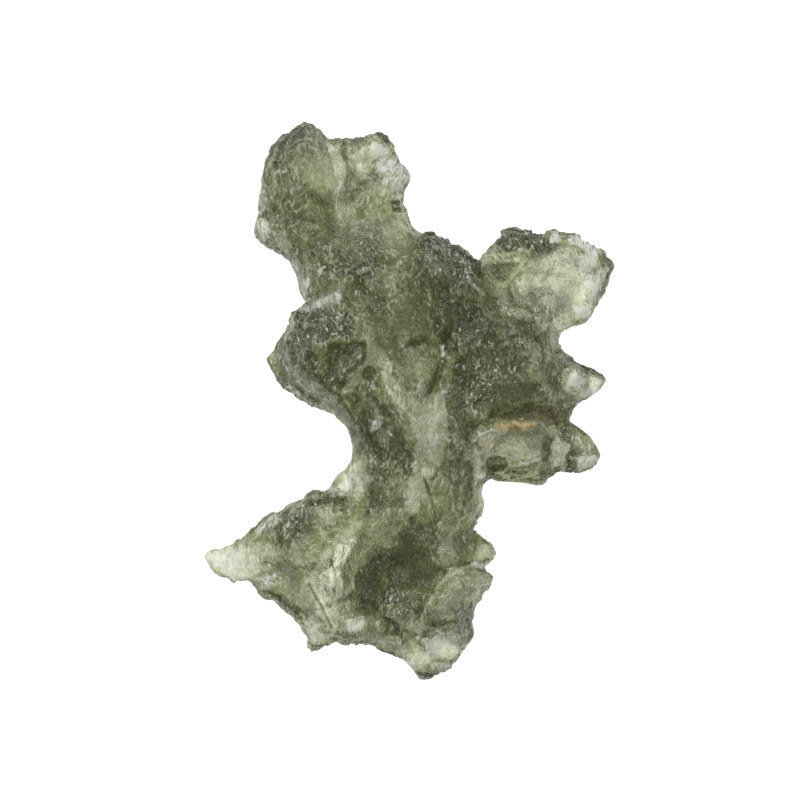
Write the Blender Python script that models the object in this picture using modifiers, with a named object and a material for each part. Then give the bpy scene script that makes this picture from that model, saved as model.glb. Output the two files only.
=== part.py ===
"""Moldavite: one natural lump of green impact glass, lying on its broad underside.

The lump is a lobed plate with deep furrows. Its plan is an outline that is drawn lobe by lobe, its
two faces are levels that blend from lobe to lobe, and ridges, furrows and hollows are laid on those.
Etched cups and crests then cover the whole skin, and the lowest bumps are worn flat where it rests.

+Z is up, +Y is the long way towards the two-part head, and the origin is the middle of the
bounding box's underside. Plan sizes are in millimetres until the mesh is made.
"""

import math

import bmesh
import bpy
import numpy as np
from mathutils import Vector, noise

MM = 0.001

TRIANGLES = 9600        # faces left on the finished solid
PLATE_HALF = 0.6        # half the thickness of the flat plate that the plan is first cut from
PLATE_VOXEL = 0.2       # mesh size of the flat plate
SKIN_VOXEL = 0.19       # mesh size that the etched skin is carved at
RIM_HALF = 0.22         # half the thickness left at the thin outer rim
RIM_SHARE = 0.45        # the rim's place between the lower and the upper face
SLOPE = 0.95            # how far in from the rim a face takes to come most of the way to its level
BLEND = 1.25            # how far each level's influence reaches before its neighbours take over
LEVEL_CORE = 0.35       # how broad the even middle of each level's influence is
CREST_POWER = 1.5       # above 1, ridges and furrows have hollow flanks and a sharp line
WEAR = 0.32             # how much of the lowest bumps is worn flat

# The outline, clockwise from the left corner of the head, as (x, y)
HEAD_LEFT = [
    (-9.5, 10.6), (-9.25, 11.5), (-9.1, 12.7), (-8.9, 14.3), (-8.45, 15.7), (-8.0, 16.3),
    (-7.15, 17.1), (-6.3, 17.5), (-5.9, 17.25), (-5.3, 16.85), (-4.95, 16.2),
]
HEAD_RIGHT = [
    (-4.35, 16.4), (-3.05, 16.45), (-1.6, 16.95), (-0.95, 16.7), (-0.7, 15.6), (0.3, 14.0),
    (-0.25, 13.15), (-0.25, 12.7), (0.1, 11.3), (0.4, 10.65), (0.85, 10.35),
]
SHOULDER = [
    (1.45, 10.6), (2.05, 10.45), (2.8, 9.85), (3.7, 9.4), (4.1, 9.0), (4.6, 8.5),
]
WING = [
    (5.1, 9.4), (5.6, 10.05), (5.7, 10.6), (6.2, 10.85), (7.9, 10.65), (8.0, 10.4), (8.7, 10.4),
    (9.1, 10.85), (9.35, 10.45), (10.6, 10.6), (11.1, 9.95), (12.6, 9.15), (13.05, 8.3),
    (12.5, 7.35), (12.2, 6.45), (11.55, 5.7), (11.5, 5.1), (10.4, 4.75), (9.3, 4.2), (9.15, 3.6),
]
SPIKE = [
    (9.5, 3.15), (10.65, 2.5), (11.6, 2.3), (12.1, 1.85), (12.6, 1.5), (12.1, 0.95), (11.85, 0.55),
    (11.25, 0.45), (10.7, -0.15), (10.4, -0.5), (10.2, -0.95), (10.3, -1.4),
]
FIN = [
    (10.65, -1.6), (11.45, -2.2), (11.7, -2.7), (12.2, -3.45), (11.7, -4.1), (10.65, -4.55),
    (9.55, -4.4), (8.9, -4.8), (8.15, -5.35), (7.7, -5.1), (5.85, -4.9), (5.2, -4.75), (4.9, -4.85),
]
WAIST_RIGHT = [
    (4.65, -5.1), (4.55, -5.55), (4.75, -6.4), (4.65, -7.1), (4.45, -7.45), (4.05, -8.15),
]
SKIRT_RIGHT = [
    (4.7, -8.65), (5.35, -9.1), (5.6, -9.45), (5.25, -9.95), (4.25, -10.2), (5.5, -11.15),
    (4.7, -12.3), (4.4, -12.8), (4.1, -13.8), (4.2, -14.65), (3.2, -16.0), (2.5, -16.8),
    (1.15, -17.55), (0.65, -17.4),
]
SKIRT_HEM = [
    (0.15, -16.5), (-0.1, -16.05), (-1.25, -15.8), (-2.75, -15.15), (-3.7, -15.35), (-4.4, -15.05),
    (-4.75, -15.4), (-5.35, -15.8), (-5.95, -15.9), (-6.3, -15.5), (-6.35, -14.6), (-7.0, -13.7),
    (-7.8, -12.9), (-8.75, -12.35), (-9.15, -12.25), (-9.65, -11.25),
]
LEFT_TIP = [
    (-10.45, -11.2), (-10.9, -11.75), (-11.15, -11.3), (-12.1, -10.7), (-12.95, -9.75),
    (-12.45, -9.45), (-11.4, -9.3), (-10.4, -8.65),
]
SKIRT_CREST = [
    (-9.4, -7.9), (-8.75, -7.15), (-8.5, -7.0), (-7.9, -7.1), (-7.2, -6.4), (-6.45, -6.3),
    (-6.0, -5.6), (-5.35, -5.65), (-4.7, -5.8),
]
WEB = [
    (-4.75, -5.4), (-4.05, -4.5), (-3.5, -3.8), (-3.35, -3.0), (-3.4, -2.2), (-4.3, -1.0),
]
ARM = [
    (-4.5, -0.6), (-6.2, -0.2), (-7.1, 0.55), (-7.7, 0.85), (-8.4, 2.0), (-8.8, 2.75),
    (-7.85, 3.8), (-7.3, 4.4), (-7.2, 5.45), (-6.1, 6.1),
]
NECK_LEFT = [
    (-6.5, 6.45), (-6.7, 7.65), (-6.9, 8.15), (-7.3, 8.9), (-8.05, 9.35), (-9.3, 10.1),
]
OUTLINE = (HEAD_LEFT + HEAD_RIGHT + SHOULDER + WING + SPIKE + FIN + WAIST_RIGHT + SKIRT_RIGHT
           + SKIRT_HEM + LEFT_TIP + SKIRT_CREST + WEB + ARM + NECK_LEFT)

# Where each part of the lump has its two faces: (x, y, upper face, lower face)
LEVELS = {
    "left head": (-7.0, 13.2, 7.2, 1.0),
    "left head root": (-7.3, 10.7, 6.6, 1.6),
    "head cleft": (-3.9, 13.8, 4.6, 2.0),
    "head cleft root": (-3.4, 11.0, 5.4, 1.4),
    "right head": (-1.7, 14.8, 5.4, 2.6),
    "right head root": (-1.4, 11.6, 6.2, 1.6),
    "neck": (-4.2, 8.5, 7.2, 1.0),
    "arm": (-5.4, 3.2, 8.2, 1.2),
    "arm tip": (-8.0, 2.7, 5.0, 2.8),
    "upper trunk": (-0.7, 6.3, 7.8, 0.8),
    "shoulder": (3.0, 7.9, 9.4, 1.6),
    "right flank": (5.8, 3.2, 8.9, 0.5),
    "right flank root": (8.3, 1.0, 8.0, 1.4),
    "wing": (8.9, 7.5, 5.6, 3.0),
    "wing root": (5.8, 6.9, 6.6, 2.2),
    "wing tip": (12.0, 8.3, 5.4, 3.6),
    "spike root": (9.9, 1.6, 7.0, 2.8),
    "spike": (11.7, 1.3, 5.4, 3.8),
    "fin": (7.1, -3.1, 6.4, 1.2),
    "fin tip": (11.1, -3.4, 5.6, 3.0),
    "trunk stripe": (0.5, 0.0, 6.2, 2.2),
    "trunk left": (-2.3, 0.0, 7.4, 0.9),
    "trunk right": (3.0, -1.2, 8.2, 0.4),
    "waist left": (-2.0, -3.4, 6.4, 1.0),
    "waist stripe": (1.0, -4.3, 5.8, 2.2),
    "waist right": (3.0, -5.6, 7.2, 0.8),
    "web": (-3.9, -5.1, 3.6, 2.2),
    "skirt crest outer": (-7.3, -7.1, 5.6, 1.6),
    "skirt crest inner": (-4.8, -6.5, 6.6, 1.4),
    "skirt stripe": (-5.1, -10.2, 4.4, 2.0),
    "skirt stripe foot": (-4.2, -13.4, 3.8, 1.6),
    "skirt bowl": (0.2, -10.6, 6.0, 0.2),
    "skirt hem": (-3.6, -14.8, 4.0, 2.0),
    "skirt shoulder": (3.0, -12.4, 7.0, 1.0),
    "skirt left hem": (-7.6, -11.8, 4.8, 1.8),
    "bottom tip": (1.1, -16.2, 4.8, 2.2),
    "left tip": (-11.4, -10.1, 3.3, 2.2),
    "left tip root": (-9.5, -9.9, 4.8, 1.8),
    "skirt spike": (4.7, -9.3, 5.2, 2.4),
}

# Sharp-topped ridges of the upper face: (half width, height, crest line)
RIDGES = {
    "left head side": (0.9, 0.6, [(-5.6, 16.9), (-5.6, 15.0), (-5.0, 13.4), (-4.6, 12.6)]),
    "right head side": (0.6, 0.7, [(-4.9, 16.3), (-4.3, 15.7), (-3.9, 14.9), (-4.1, 13.0)]),
    "arm top": (0.7, 0.9, [(-7.0, 5.6), (-5.6, 6.1), (-4.2, 6.9)]),
    "arm edge": (1.2, 1.4, [(-7.2, 5.5), (-7.1, 4.1), (-6.7, 2.8), (-5.8, 1.2), (-4.7, 0.2),
                            (-3.9, -1.6), (-3.4, -3.0)]),
    "arm inner edge": (0.8, 0.8, [(-2.6, 5.4), (-2.3, 3.6), (-2.9, 2.2), (-4.3, 1.0)]),
    "trunk chip": (0.5, 0.7, [(-1.8, -1.0), (-2.4, -1.8)]),
    "shoulder edge": (1.0, 1.0, [(1.2, 10.2), (1.2, 6.9), (2.2, 4.3), (2.3, 0.6), (2.9, -2.5)]),
    "shoulder right edge": (0.7, 0.8, [(2.1, 10.3), (4.3, 8.5), (3.5, 7.3), (4.7, 5.9)]),
    "flank edge": (1.1, 0.9, [(3.0, 7.0), (5.2, 5.0), (8.4, 3.0), (10.6, 2.0)]),
    "flank lower edge": (0.8, 0.6, [(4.2, 0.6), (6.5, 1.6), (9.6, 0.6)]),
    "waist edge": (0.8, 0.7, [(2.9, -2.5), (2.9, -4.6), (3.4, -7.6)]),
    "skirt crest": (1.0, 1.0, [(-11.8, -9.7), (-8.6, -7.8), (-6.2, -6.6), (-3.7, -6.7), (-1.2, -7.0)]),
    "skirt edge": (0.9, 1.2, [(5.3, -11.1), (3.4, -10.9), (1.8, -12.5), (0.7, -14.3), (0.4, -16.6)]),
    "hem": (0.6, 1.1, [(-6.9, -13.2), (-5.0, -14.4), (-2.9, -14.7), (-0.7, -14.9), (0.2, -15.6)]),
    "bowl arc": (0.45, 0.9, [(-1.4, -11.2), (-1.9, -12.4), (-1.7, -14.2)]),
    "stripe border": (0.6, 0.8, [(-6.9, -9.6), (-6.2, -11.4), (-5.4, -12.8), (-4.7, -14.2)]),
    "spike edge": (0.7, 0.7, [(5.4, -9.45), (3.0, -9.7), (1.2, -9.0)]),
    "fin crest": (0.5, 1.2, [(4.4, -2.6), (5.2, -1.8), (6.4, -1.5), (8.2, -1.4), (9.0, -2.0)]),
    "fin brow": (0.4, 0.7, [(4.5, -4.4), (4.6, -3.6), (5.4, -3.2), (6.8, -3.8), (8.6, -3.4)]),
    "fin fan": (0.5, 0.7, [(9.3, -2.2), (8.9, -3.0), (9.0, -4.4)]),
    "wing rim": (0.6, 0.9, [(5.6, 10.3), (7.7, 10.1), (9.6, 10.1), (11.4, 9.2), (12.4, 8.5), (12.0, 7.0)]),
    "wing facet edge": (0.4, 0.5, [(5.0, 8.6), (5.6, 7.5), (6.3, 7.5), (6.9, 8.5)]),
    "spike crest": (0.5, 0.7, [(9.6, 2.6), (11.2, 1.9), (12.4, 1.5)]),
}

# Furrows of the upper face: (half width, depth, valley line)
FURROWS = {
    "head cleft": (0.9, 1.2, [(-4.9, 16.6), (-4.6, 14.8), (-4.5, 12.9), (-4.2, 11.6), (-3.8, 9.0)]),
    "shoulder cleft": (0.8, 1.4, [(4.6, 8.9), (5.2, 6.9), (5.9, 5.2)]),
    "trunk gully": (0.8, 1.6, [(-3.4, 0.4), (-2.6, -1.5), (-1.7, -3.1), (-1.2, -4.9)]),
    "trunk slit": (0.5, 1.2, [(2.4, 4.2), (1.9, 2.4), (1.1, 0.4)]),
    "fin cleft": (0.8, 1.8, [(5.3, -1.0), (7.1, -0.7), (8.6, -0.5), (9.7, -1.1)]),
    "arm cleft": (0.7, 1.0, [(-6.3, 6.4), (-4.8, 6.8), (-3.2, 6.7)]),
    "waist cleft": (0.6, 0.8, [(-4.9, -5.8), (-2.6, -6.0), (-0.7, -5.8)]),
    "spike cleft": (0.5, 1.2, [(4.6, -10.2), (2.7, -10.4), (1.4, -11.4)]),
    "stripe": (1.0, 0.8, [(1.8, 0.4), (1.2, -2.4), (1.1, -4.6), (0.7, -7.2)]),
    "stripe fissure": (0.3, 0.5, [(1.0, -4.7), (1.5, -6.2), (1.6, -7.4)]),
}

# Cups of the upper face: (x, y, half length, half width, turn in degrees, depth)
HOLLOWS = {
    "arm upper cup": (-6.3, 3.2, 1.5, 0.8, 105, 1.3),
    "arm lower cup": (-4.9, 2.4, 1.5, 1.2, 40, 1.2),
    "arm pit": (-2.4, 1.7, 0.6, 0.5, 0, 0.9),
    "ledge": (2.2, 6.9, 1.3, 0.9, 10, 0.7),
    "skirt bowl": (-0.3, -10.6, 3.2, 2.3, 10, 1.9),
    "skirt stripe": (-4.8, -10.6, 3.0, 1.2, 68, 1.0),
    "fin eye": (5.6, -3.8, 0.8, 0.55, 10, 1.2),
    "fin tip cup": (10.6, -3.5, 1.0, 0.7, 20, 0.9),
    "flank cup": (7.3, 0.6, 1.7, 0.8, 15, 0.7),
    "wing dish": (9.1, 6.8, 2.8, 2.0, 20, 0.8),
    "wing facet": (5.7, 8.3, 1.1, 0.8, 60, 0.6),
    "right head dish": (-1.9, 14.4, 1.7, 1.2, 75, 0.8),
    "left head dish": (-5.7, 12.9, 1.2, 0.6, 15, 0.6),
}

# Furrows, ridges and cups of the lower face, measured down into the lump or out from it
UNDER_FURROWS = {
    "long": (1.2, 1.5, [(-3.6, 16.0), (-3.2, 11.0), (-1.0, 5.5), (0.8, 0.5), (1.0, -5.0), (-1.0, -9.0)]),
    "cross": (0.9, 1.1, [(-7.5, 2.6), (-3.6, 3.4), (1.5, 4.2), (5.5, 6.6), (8.6, 6.6)]),
    "skirt": (0.9, 1.1, [(-10.5, -9.6), (-6.0, -10.4), (-3.6, -13.5)]),
    "fin": (0.7, 1.0, [(3.4, -2.4), (6.6, -2.2), (10.4, -2.8)]),
    "flank": (0.7, 0.9, [(2.6, 7.9), (3.6, 4.6), (3.4, 1.2), (4.4, -1.4)]),
}
UNDER_RIDGES = {
    "neck": (0.9, 0.9, [(-6.4, 7.4), (-5.4, 9.6), (-7.4, 12.4), (-6.8, 15.6)]),
    "right head": (0.7, 0.8, [(-0.6, 15.9), (-1.4, 13.2), (-1.2, 10.4), (1.4, 8.9)]),
    "wing": (0.8, 0.9, [(6.2, 8.9), (9.2, 8.6), (11.6, 7.4)]),
    "arm": (0.8, 0.9, [(-7.6, 1.6), (-5.0, 1.4), (-2.6, -0.8), (-1.6, -4.2)]),
    "waist": (0.7, 0.8, [(3.2, -3.2), (3.4, -6.4), (2.2, -9.4)]),
    "fin": (0.6, 0.9, [(5.6, -4.1), (8.4, -3.9), (10.8, -3.6)]),
    "hem": (0.7, 0.8, [(-8.2, -11.6), (-5.4, -13.4), (-1.6, -14.4), (1.2, -15.6)]),
}
UNDER_HOLLOWS = {
    "head": (-1.9, 14.4, 1.6, 1.1, 60, 0.7),
    "shoulder": (3.6, 6.9, 1.6, 1.3, 30, 1.1),
    "waist": (-1.8, -3.6, 1.9, 1.0, 100, 0.9),
    "skirt": (2.4, -13.6, 1.7, 1.2, 50, 0.9),
    "arm": (-3.6, 0.4, 1.4, 1.0, 20, 0.8),
    "crest": (-3.2, -8.2, 1.6, 1.0, 0, 0.8),
}
# Bumps that reach down to the floor: (x, y, radius)
FEET = {
    "head foot": (-6.4, 12.9, 3.2),
    "flank foot": (6.2, 2.2, 3.6),
    "skirt foot": (1.0, -11.8, 3.4),
    "arm foot": (-5.2, 3.2, 2.8),
    "crest foot": (-6.0, -9.0, 2.4),
}
FOOT_LEVEL = -0.1       # height of the feet's undersides before they are worn flat

# The etched skin: cups of two sizes as (cell size, depth, stretch along the lump)
CUPS = [(3.0, 0.4, 1.25), (1.2, 0.24, 1.1)]
CUP_FULLNESS = 1.9      # how far the cups fill their cells
LEAST_CELL = 0.05       # keeps the division sound where two cup middles meet
RAGGED = (0.9, 0.256)   # cell size and reach of the ragged crests
SWELL = 0.05            # growth that makes up for what the even meshing takes off the spines
THIN = 0.9              # cups are shallower where the lump is thinner than this, each side
RIM_ETCH = 0.35         # share of the cups' depth that is left at the thin rim


def clear_scene():
    """Remove whatever the file was opened with."""
    for obj in list(bpy.data.objects):
        bpy.data.objects.remove(obj, do_unlink=True)


def distance_to_line(x, y, line, closed=False):
    """Distance in plan from each point to a broken line."""
    ends = np.array(line + line[:1] if closed else line, float)
    nearest = np.full(len(x), np.inf)
    for (ax, ay), (bx, by) in zip(ends[:-1], ends[1:]):
        dx, dy = bx - ax, by - ay
        along = ((x - ax) * dx + (y - ay) * dy) / (dx * dx + dy * dy)
        along = np.clip(along, 0.0, 1.0)
        nearest = np.minimum(nearest, np.hypot(x - ax - along * dx, y - ay - along * dy))
    return nearest


def blended_levels(x, y):
    """Upper and lower face levels, blended between the named places."""
    total = np.zeros(len(x))
    upper = np.zeros(len(x))
    lower = np.zeros(len(x))
    for px, py, top, bottom in LEVELS.values():
        reach = np.hypot(x - px, y - py) / BLEND
        weight = 1.0 / (LEVEL_CORE + reach ** 2) ** 2
        total += weight
        upper += weight * top
        lower += weight * bottom
    return upper / total, lower / total


def crest_profile(distance, half_width):
    """1 on the line and 0 past the half width, sharp on the line."""
    share = np.clip(1.0 - distance / half_width, 0.0, 1.0)
    return share ** CREST_POWER


def bowl_profile(x, y, px, py, half_length, half_width, turn):
    """1 in the middle of an oval cup and 0 at its edge."""
    c, s = math.cos(math.radians(turn)), math.sin(math.radians(turn))
    u = ((x - px) * c + (y - py) * s) / half_length
    v = (-(x - px) * s + (y - py) * c) / half_width
    return np.clip(1.0 - u * u - v * v, 0.0, 1.0)


def upper_relief(x, y):
    """What the ridges, furrows and cups add to the upper face."""
    relief = np.zeros(len(x))
    for half_width, height, line in RIDGES.values():
        relief += height * crest_profile(distance_to_line(x, y, line), half_width)
    for half_width, depth, line in FURROWS.values():
        relief -= depth * crest_profile(distance_to_line(x, y, line), half_width)
    for px, py, half_length, half_width, turn, depth in HOLLOWS.values():
        relief -= depth * bowl_profile(x, y, px, py, half_length, half_width, turn)
    return relief


def lower_relief(x, y):
    """How far the furrows, ridges and cups lift or lower the lower face."""
    relief = np.zeros(len(x))
    for half_width, height, line in UNDER_RIDGES.values():
        relief -= height * crest_profile(distance_to_line(x, y, line), half_width)
    for half_width, depth, line in UNDER_FURROWS.values():
        relief += depth * crest_profile(distance_to_line(x, y, line), half_width)
    for px, py, half_length, half_width, turn, depth in UNDER_HOLLOWS.values():
        relief += depth * bowl_profile(x, y, px, py, half_length, half_width, turn)
    return relief


def foot_share(x, y):
    """1 under the middle of a foot, falling smoothly to 0 around it."""
    share = np.zeros(len(x))
    for px, py, radius in FEET.values():
        near = np.clip(1.0 - np.hypot(x - px, y - py) / radius, 0.0, 1.0)
        share = np.maximum(share, near * near * (3.0 - 2.0 * near))
    return share


def plan_plate():
    """A flat plate with the lump's outline."""
    curve = bpy.data.curves.new("plan", "CURVE")
    curve.dimensions = "2D"
    curve.fill_mode = "BOTH"
    curve.extrude = PLATE_HALF * MM
    spline = curve.splines.new("POLY")
    spline.points.add(len(OUTLINE) - 1)
    for point, (x, y) in zip(spline.points, OUTLINE):
        point.co = (x * MM, y * MM, 0.0, 1.0)
    spline.use_cyclic_u = True
    outline = bpy.data.objects.new("plan", curve)
    bpy.context.scene.collection.objects.link(outline)
    graph = bpy.context.evaluated_depsgraph_get()
    mesh = bpy.data.meshes.new_from_object(outline.evaluated_get(graph))
    bpy.data.objects.remove(outline, do_unlink=True)
    body = bmesh.new()
    body.from_mesh(mesh)
    bmesh.ops.remove_doubles(body, verts=body.verts, dist=0.001 * MM)
    body.to_mesh(mesh)
    body.free()
    plate = bpy.data.objects.new("moldavite", mesh)
    bpy.context.scene.collection.objects.link(plate)
    return plate


def settle_modifiers(obj):
    """Put the evaluated mesh in place of the mesh and its modifiers."""
    graph = bpy.context.evaluated_depsgraph_get()
    mesh = bpy.data.meshes.new_from_object(obj.evaluated_get(graph))
    obj.modifiers.clear()
    obj.data = mesh


def evenly_meshed(obj, voxel):
    """Rebuild the surface from cubes of one size, which also joins what crosses."""
    remesh = obj.modifiers.new("even", "REMESH")
    remesh.mode = "VOXEL"
    remesh.voxel_size = voxel * MM
    remesh.adaptivity = 0.0
    settle_modifiers(obj)


def points_of(mesh):
    """Vertex places in millimetres, one row each."""
    flat = np.empty(len(mesh.vertices) * 3, np.float32)
    mesh.vertices.foreach_get("co", flat)
    return flat.reshape(-1, 3).astype(float) / MM


def move_points(mesh, points):
    mesh.vertices.foreach_set("co", (points * MM).astype(np.float32).ravel())
    mesh.update()


def normals_of(mesh):
    flat = np.empty(len(mesh.vertices) * 3, np.float32)
    mesh.vertex_normals.foreach_get("vector", flat)
    return flat.reshape(-1, 3).astype(float)


def raise_faces(obj):
    """Swell the flat plate to its two faces, thin at the rim."""
    points = points_of(obj.data)
    x, y, z = points.T
    rim_distance = distance_to_line(x, y, OUTLINE, closed=True)
    upper, lower = blended_levels(x, y)
    rim = lower + RIM_SHARE * (upper - lower)
    share = 1.0 - np.exp(-rim_distance / SLOPE)
    upper = upper + upper_relief(x, y)
    lower = lower + lower_relief(x, y)
    thinnest = 2.0 * RIM_HALF
    upper = np.maximum(upper, lower + thinnest)
    upper_face = rim + RIM_HALF + (upper - rim - RIM_HALF) * share
    lower_face = rim - RIM_HALF + (lower - rim + RIM_HALF) * share
    lower_face += (FOOT_LEVEL - lower_face) * foot_share(x, y)
    side = np.clip(z / PLATE_HALF, -1.0, 1.0)
    points[:, 2] = np.where(side > 0, rim + side * (upper_face - rim), rim - side * (lower_face - rim))
    move_points(obj.data, points)


def cup_depth(place, cell, stretch):
    """How far a point lies towards the middle of its cup, from 0 on a crest to 1."""
    near = noise.voronoi(Vector((place[0] / cell, place[1] / (cell * stretch), place[2] / cell)))[0]
    return max(0.0, 1.0 - CUP_FULLNESS * near[0] ** 2 / max(near[1], LEAST_CELL) ** 2)


def etch_skin(obj):
    """Cover the surface with cups that meet in sharp crests, shallower where the lump is thin."""
    points = points_of(obj.data)
    normals = normals_of(obj.data)
    x, y = points[:, 0], points[:, 1]
    rim_distance = distance_to_line(x, y, OUTLINE, closed=True)
    upper, lower = blended_levels(x, y)
    half = 0.5 * (upper - lower) * (1.0 - np.exp(-rim_distance / SLOPE))
    strength = np.clip(RIM_ETCH + (1.0 - RIM_ETCH) * half / THIN, 0.0, 1.0)
    underneath = normals[:, 2] < 0
    strength = strength * np.where(underneath, 1.0 - foot_share(x, y) ** 2, 1.0)
    moved = np.zeros(len(points))
    for cell, depth, stretch in CUPS:
        cups = np.array([cup_depth(place, cell, stretch) for place in points])
        moved -= depth * (cups - cups.mean())
    cell, reach = RAGGED
    for i, place in enumerate(points):
        moved[i] += reach * noise.noise(Vector(place) / cell)
    points += normals * (SWELL + moved * strength)[:, None]
    move_points(obj.data, points)


def thin_out(obj, triangles):
    """Collapse the fine mesh to the number of faces that the shape needs."""
    obj.data.calc_loop_triangles()
    decimate = obj.modifiers.new("thin", "DECIMATE")
    decimate.ratio = triangles / len(obj.data.loop_triangles)
    decimate.use_collapse_triangulate = True
    settle_modifiers(obj)


def wear_feet(obj):
    """Cut the lowest bumps off flat, which gives the facets that the lump rests on."""
    body = bmesh.new()
    body.from_mesh(obj.data)
    lowest = min(vert.co.z for vert in body.verts)
    cut_height = lowest + WEAR * MM
    whole = body.verts[:] + body.edges[:] + body.faces[:]
    bmesh.ops.bisect_plane(
        body, geom=whole, plane_co=(0, 0, cut_height), plane_no=(0, 0, 1),
        dist=1e-7, clear_inner=True,
    )
    rims = [edge for edge in body.edges if edge.is_boundary]
    bmesh.ops.holes_fill(body, edges=rims, sides=0)
    bmesh.ops.recalc_face_normals(body, faces=body.faces[:])
    bmesh.ops.triangulate(body, faces=[face for face in body.faces if len(face.verts) > 3])
    body.to_mesh(obj.data)
    body.free()


def stand_on_origin(obj):
    """Centre the box in plan and set its underside at zero height."""
    points = points_of(obj.data)
    low, high = points.min(axis=0), points.max(axis=0)
    points -= np.array([(low[0] + high[0]) / 2, (low[1] + high[1]) / 2, low[2]])
    move_points(obj.data, points)


def glass_material():
    """Bottle-green natural glass with a frosted skin."""
    material = bpy.data.materials.new("green_glass")
    material.use_nodes = True
    shader = material.node_tree.nodes["Principled BSDF"]
    shader.inputs["Base Color"].default_value = (0.24, 0.27, 0.12, 1.0)
    shader.inputs["Roughness"].default_value = 0.28
    shader.inputs["Metallic"].default_value = 0.0
    shader.inputs["IOR"].default_value = 1.49
    shader.inputs["Transmission Weight"].default_value = 0.9
    return material


def build():
    clear_scene()
    stone = plan_plate()
    evenly_meshed(stone, PLATE_VOXEL)
    raise_faces(stone)
    evenly_meshed(stone, SKIN_VOXEL)
    etch_skin(stone)
    evenly_meshed(stone, SKIN_VOXEL)
    thin_out(stone, TRIANGLES)
    wear_feet(stone)
    stand_on_origin(stone)
    stone.data.materials.clear()
    stone.data.materials.append(glass_material())
    group = bpy.data.collections.new("moldavite")
    bpy.context.scene.collection.children.link(group)
    bpy.context.scene.collection.objects.unlink(stone)
    group.objects.link(stone)


build()
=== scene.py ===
import bmesh
import bpy
import numpy as np
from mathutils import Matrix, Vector, noise
from mathutils.bvhtree import BVHTree


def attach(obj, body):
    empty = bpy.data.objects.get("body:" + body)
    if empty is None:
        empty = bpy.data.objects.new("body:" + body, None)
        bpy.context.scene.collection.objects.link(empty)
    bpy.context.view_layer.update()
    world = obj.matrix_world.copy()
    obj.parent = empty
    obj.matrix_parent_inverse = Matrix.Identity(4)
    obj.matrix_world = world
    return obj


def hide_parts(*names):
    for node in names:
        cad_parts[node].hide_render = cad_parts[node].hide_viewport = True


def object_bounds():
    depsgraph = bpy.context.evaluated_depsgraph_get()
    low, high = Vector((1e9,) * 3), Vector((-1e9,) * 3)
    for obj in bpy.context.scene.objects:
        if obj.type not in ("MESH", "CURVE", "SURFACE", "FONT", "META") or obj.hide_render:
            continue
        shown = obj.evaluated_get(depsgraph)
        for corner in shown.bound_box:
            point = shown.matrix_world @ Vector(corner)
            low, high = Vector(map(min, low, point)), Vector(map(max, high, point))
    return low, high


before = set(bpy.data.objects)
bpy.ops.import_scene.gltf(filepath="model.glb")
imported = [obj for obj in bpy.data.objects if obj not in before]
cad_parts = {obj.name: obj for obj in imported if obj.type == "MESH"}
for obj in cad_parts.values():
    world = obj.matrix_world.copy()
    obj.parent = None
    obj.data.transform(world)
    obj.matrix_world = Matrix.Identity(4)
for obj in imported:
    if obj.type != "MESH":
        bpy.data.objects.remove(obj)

CAD_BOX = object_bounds()
MM = 0.001

# Lengths are in millimetres where no other unit is named

# The stone's skin
SKIN_VOXEL = 0.105       # mesh size while the skin is cut
SOFTEN_STEPS = 3         # smoothing passes that take the solid's flat facets off
SKIN_TRIANGLES = 190000  # triangles of the finished skin

# Etching
PITS = [(1.3, 0.08), (0.62, 0.06), (0.34, 0.05)]    # pits as (cell size, depth)
PIT_SHARPNESS = 1.9      # how narrow the middle of a pit is
LEAST_PIT_GAP = 0.05     # keeps crowded pits shallow, as a share of the cell size
RIM_PITTING = 0.9        # how much deeper the pits are along the rim
PIT_STRETCH = 1.6        # how much longer than wide the pits are, along the flow
FLOW_WIDTHS = (0.5, 2.2, 0.6)    # size of the flow grooves along X, Y and Z
FLOW_BEND = (3.2, 2.4)           # cell size and reach of the bends in the flow
FLOW_SEED = 5            # picks where the bends fall
FLOW_SHARPNESS = 2.5     # how narrow the flow grooves are
FLOW_DEPTH = 0.07
SMOOTH_GREY = 0.75       # how much shallower the etching is on grey facets
SMOOTH_PALE = 0.6        # the same on pale areas, as a share of that
MARK_HEIGHTS = {"pale": 0.08, "dark": -0.14, "frost": 0.08, "sediment": -0.05}
MARK_STEP = (0.3, 0.4)   # where across a mark's edge its step starts, and how wide it is

# What the skin's points know of their surroundings
CREST_STEPS = (3, 45)    # smoothing passes that fine and broad crests stand out from
CREST_HEIGHTS = (0.03, 0.16)     # how far such crests stand out
THIN_GLASS = 1.2         # thickness at which glass no longer counts as thin
SOLID_THICKNESS = 10.0   # thickness where no far side is found
SKIN_GAP = 0.02          # how far under the skin the thickness is measured from

# The camera looks straight down, as in the photo; its own lengths are in metres
PX_PER_MM = 16.0                  # photo pixels to the millimetre of stone
PHOTO_SIZE = 800                  # photo width and height, in pixels
STONE_MIDDLE_PX = (408.3, 401.1)  # middle of the stone in the photo
CAMERA_HEIGHT = 0.30
SENSOR_WIDTH = 36.0
RIM_HEIGHT = 0.004                # height of the rim, where the outline is seen
NEAREST_SEEN = 0.01

# Light and floor, in metres and watts
SKY_LIGHT = 0.27
LAMPS = {   # place, size and power
    "softbox": ((-0.25, 0.25, 0.35), 0.12, 1.6),
    "fill": ((0.35, -0.1, 0.3), 0.2, 0.4),
}
WHITE = (1.0, 1.0, 1.0, 1.0)
FLOOR_COLOR = (0.4, 0.4, 0.4, 1.0)
FLOOR_ROUGHNESS = 0.9
FLOOR_GLOW = 1.05
FLOOR_SIZE = 2.0
FLOOR_DROP = 0.00005              # how far the floor lies under the stone

# Clear glass
ABSORBED_COLOR = (0.55, 0.58, 0.36, 1.0)
ABSORPTION = 120.0                # per metre
GLASS_IOR = 1.49

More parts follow.
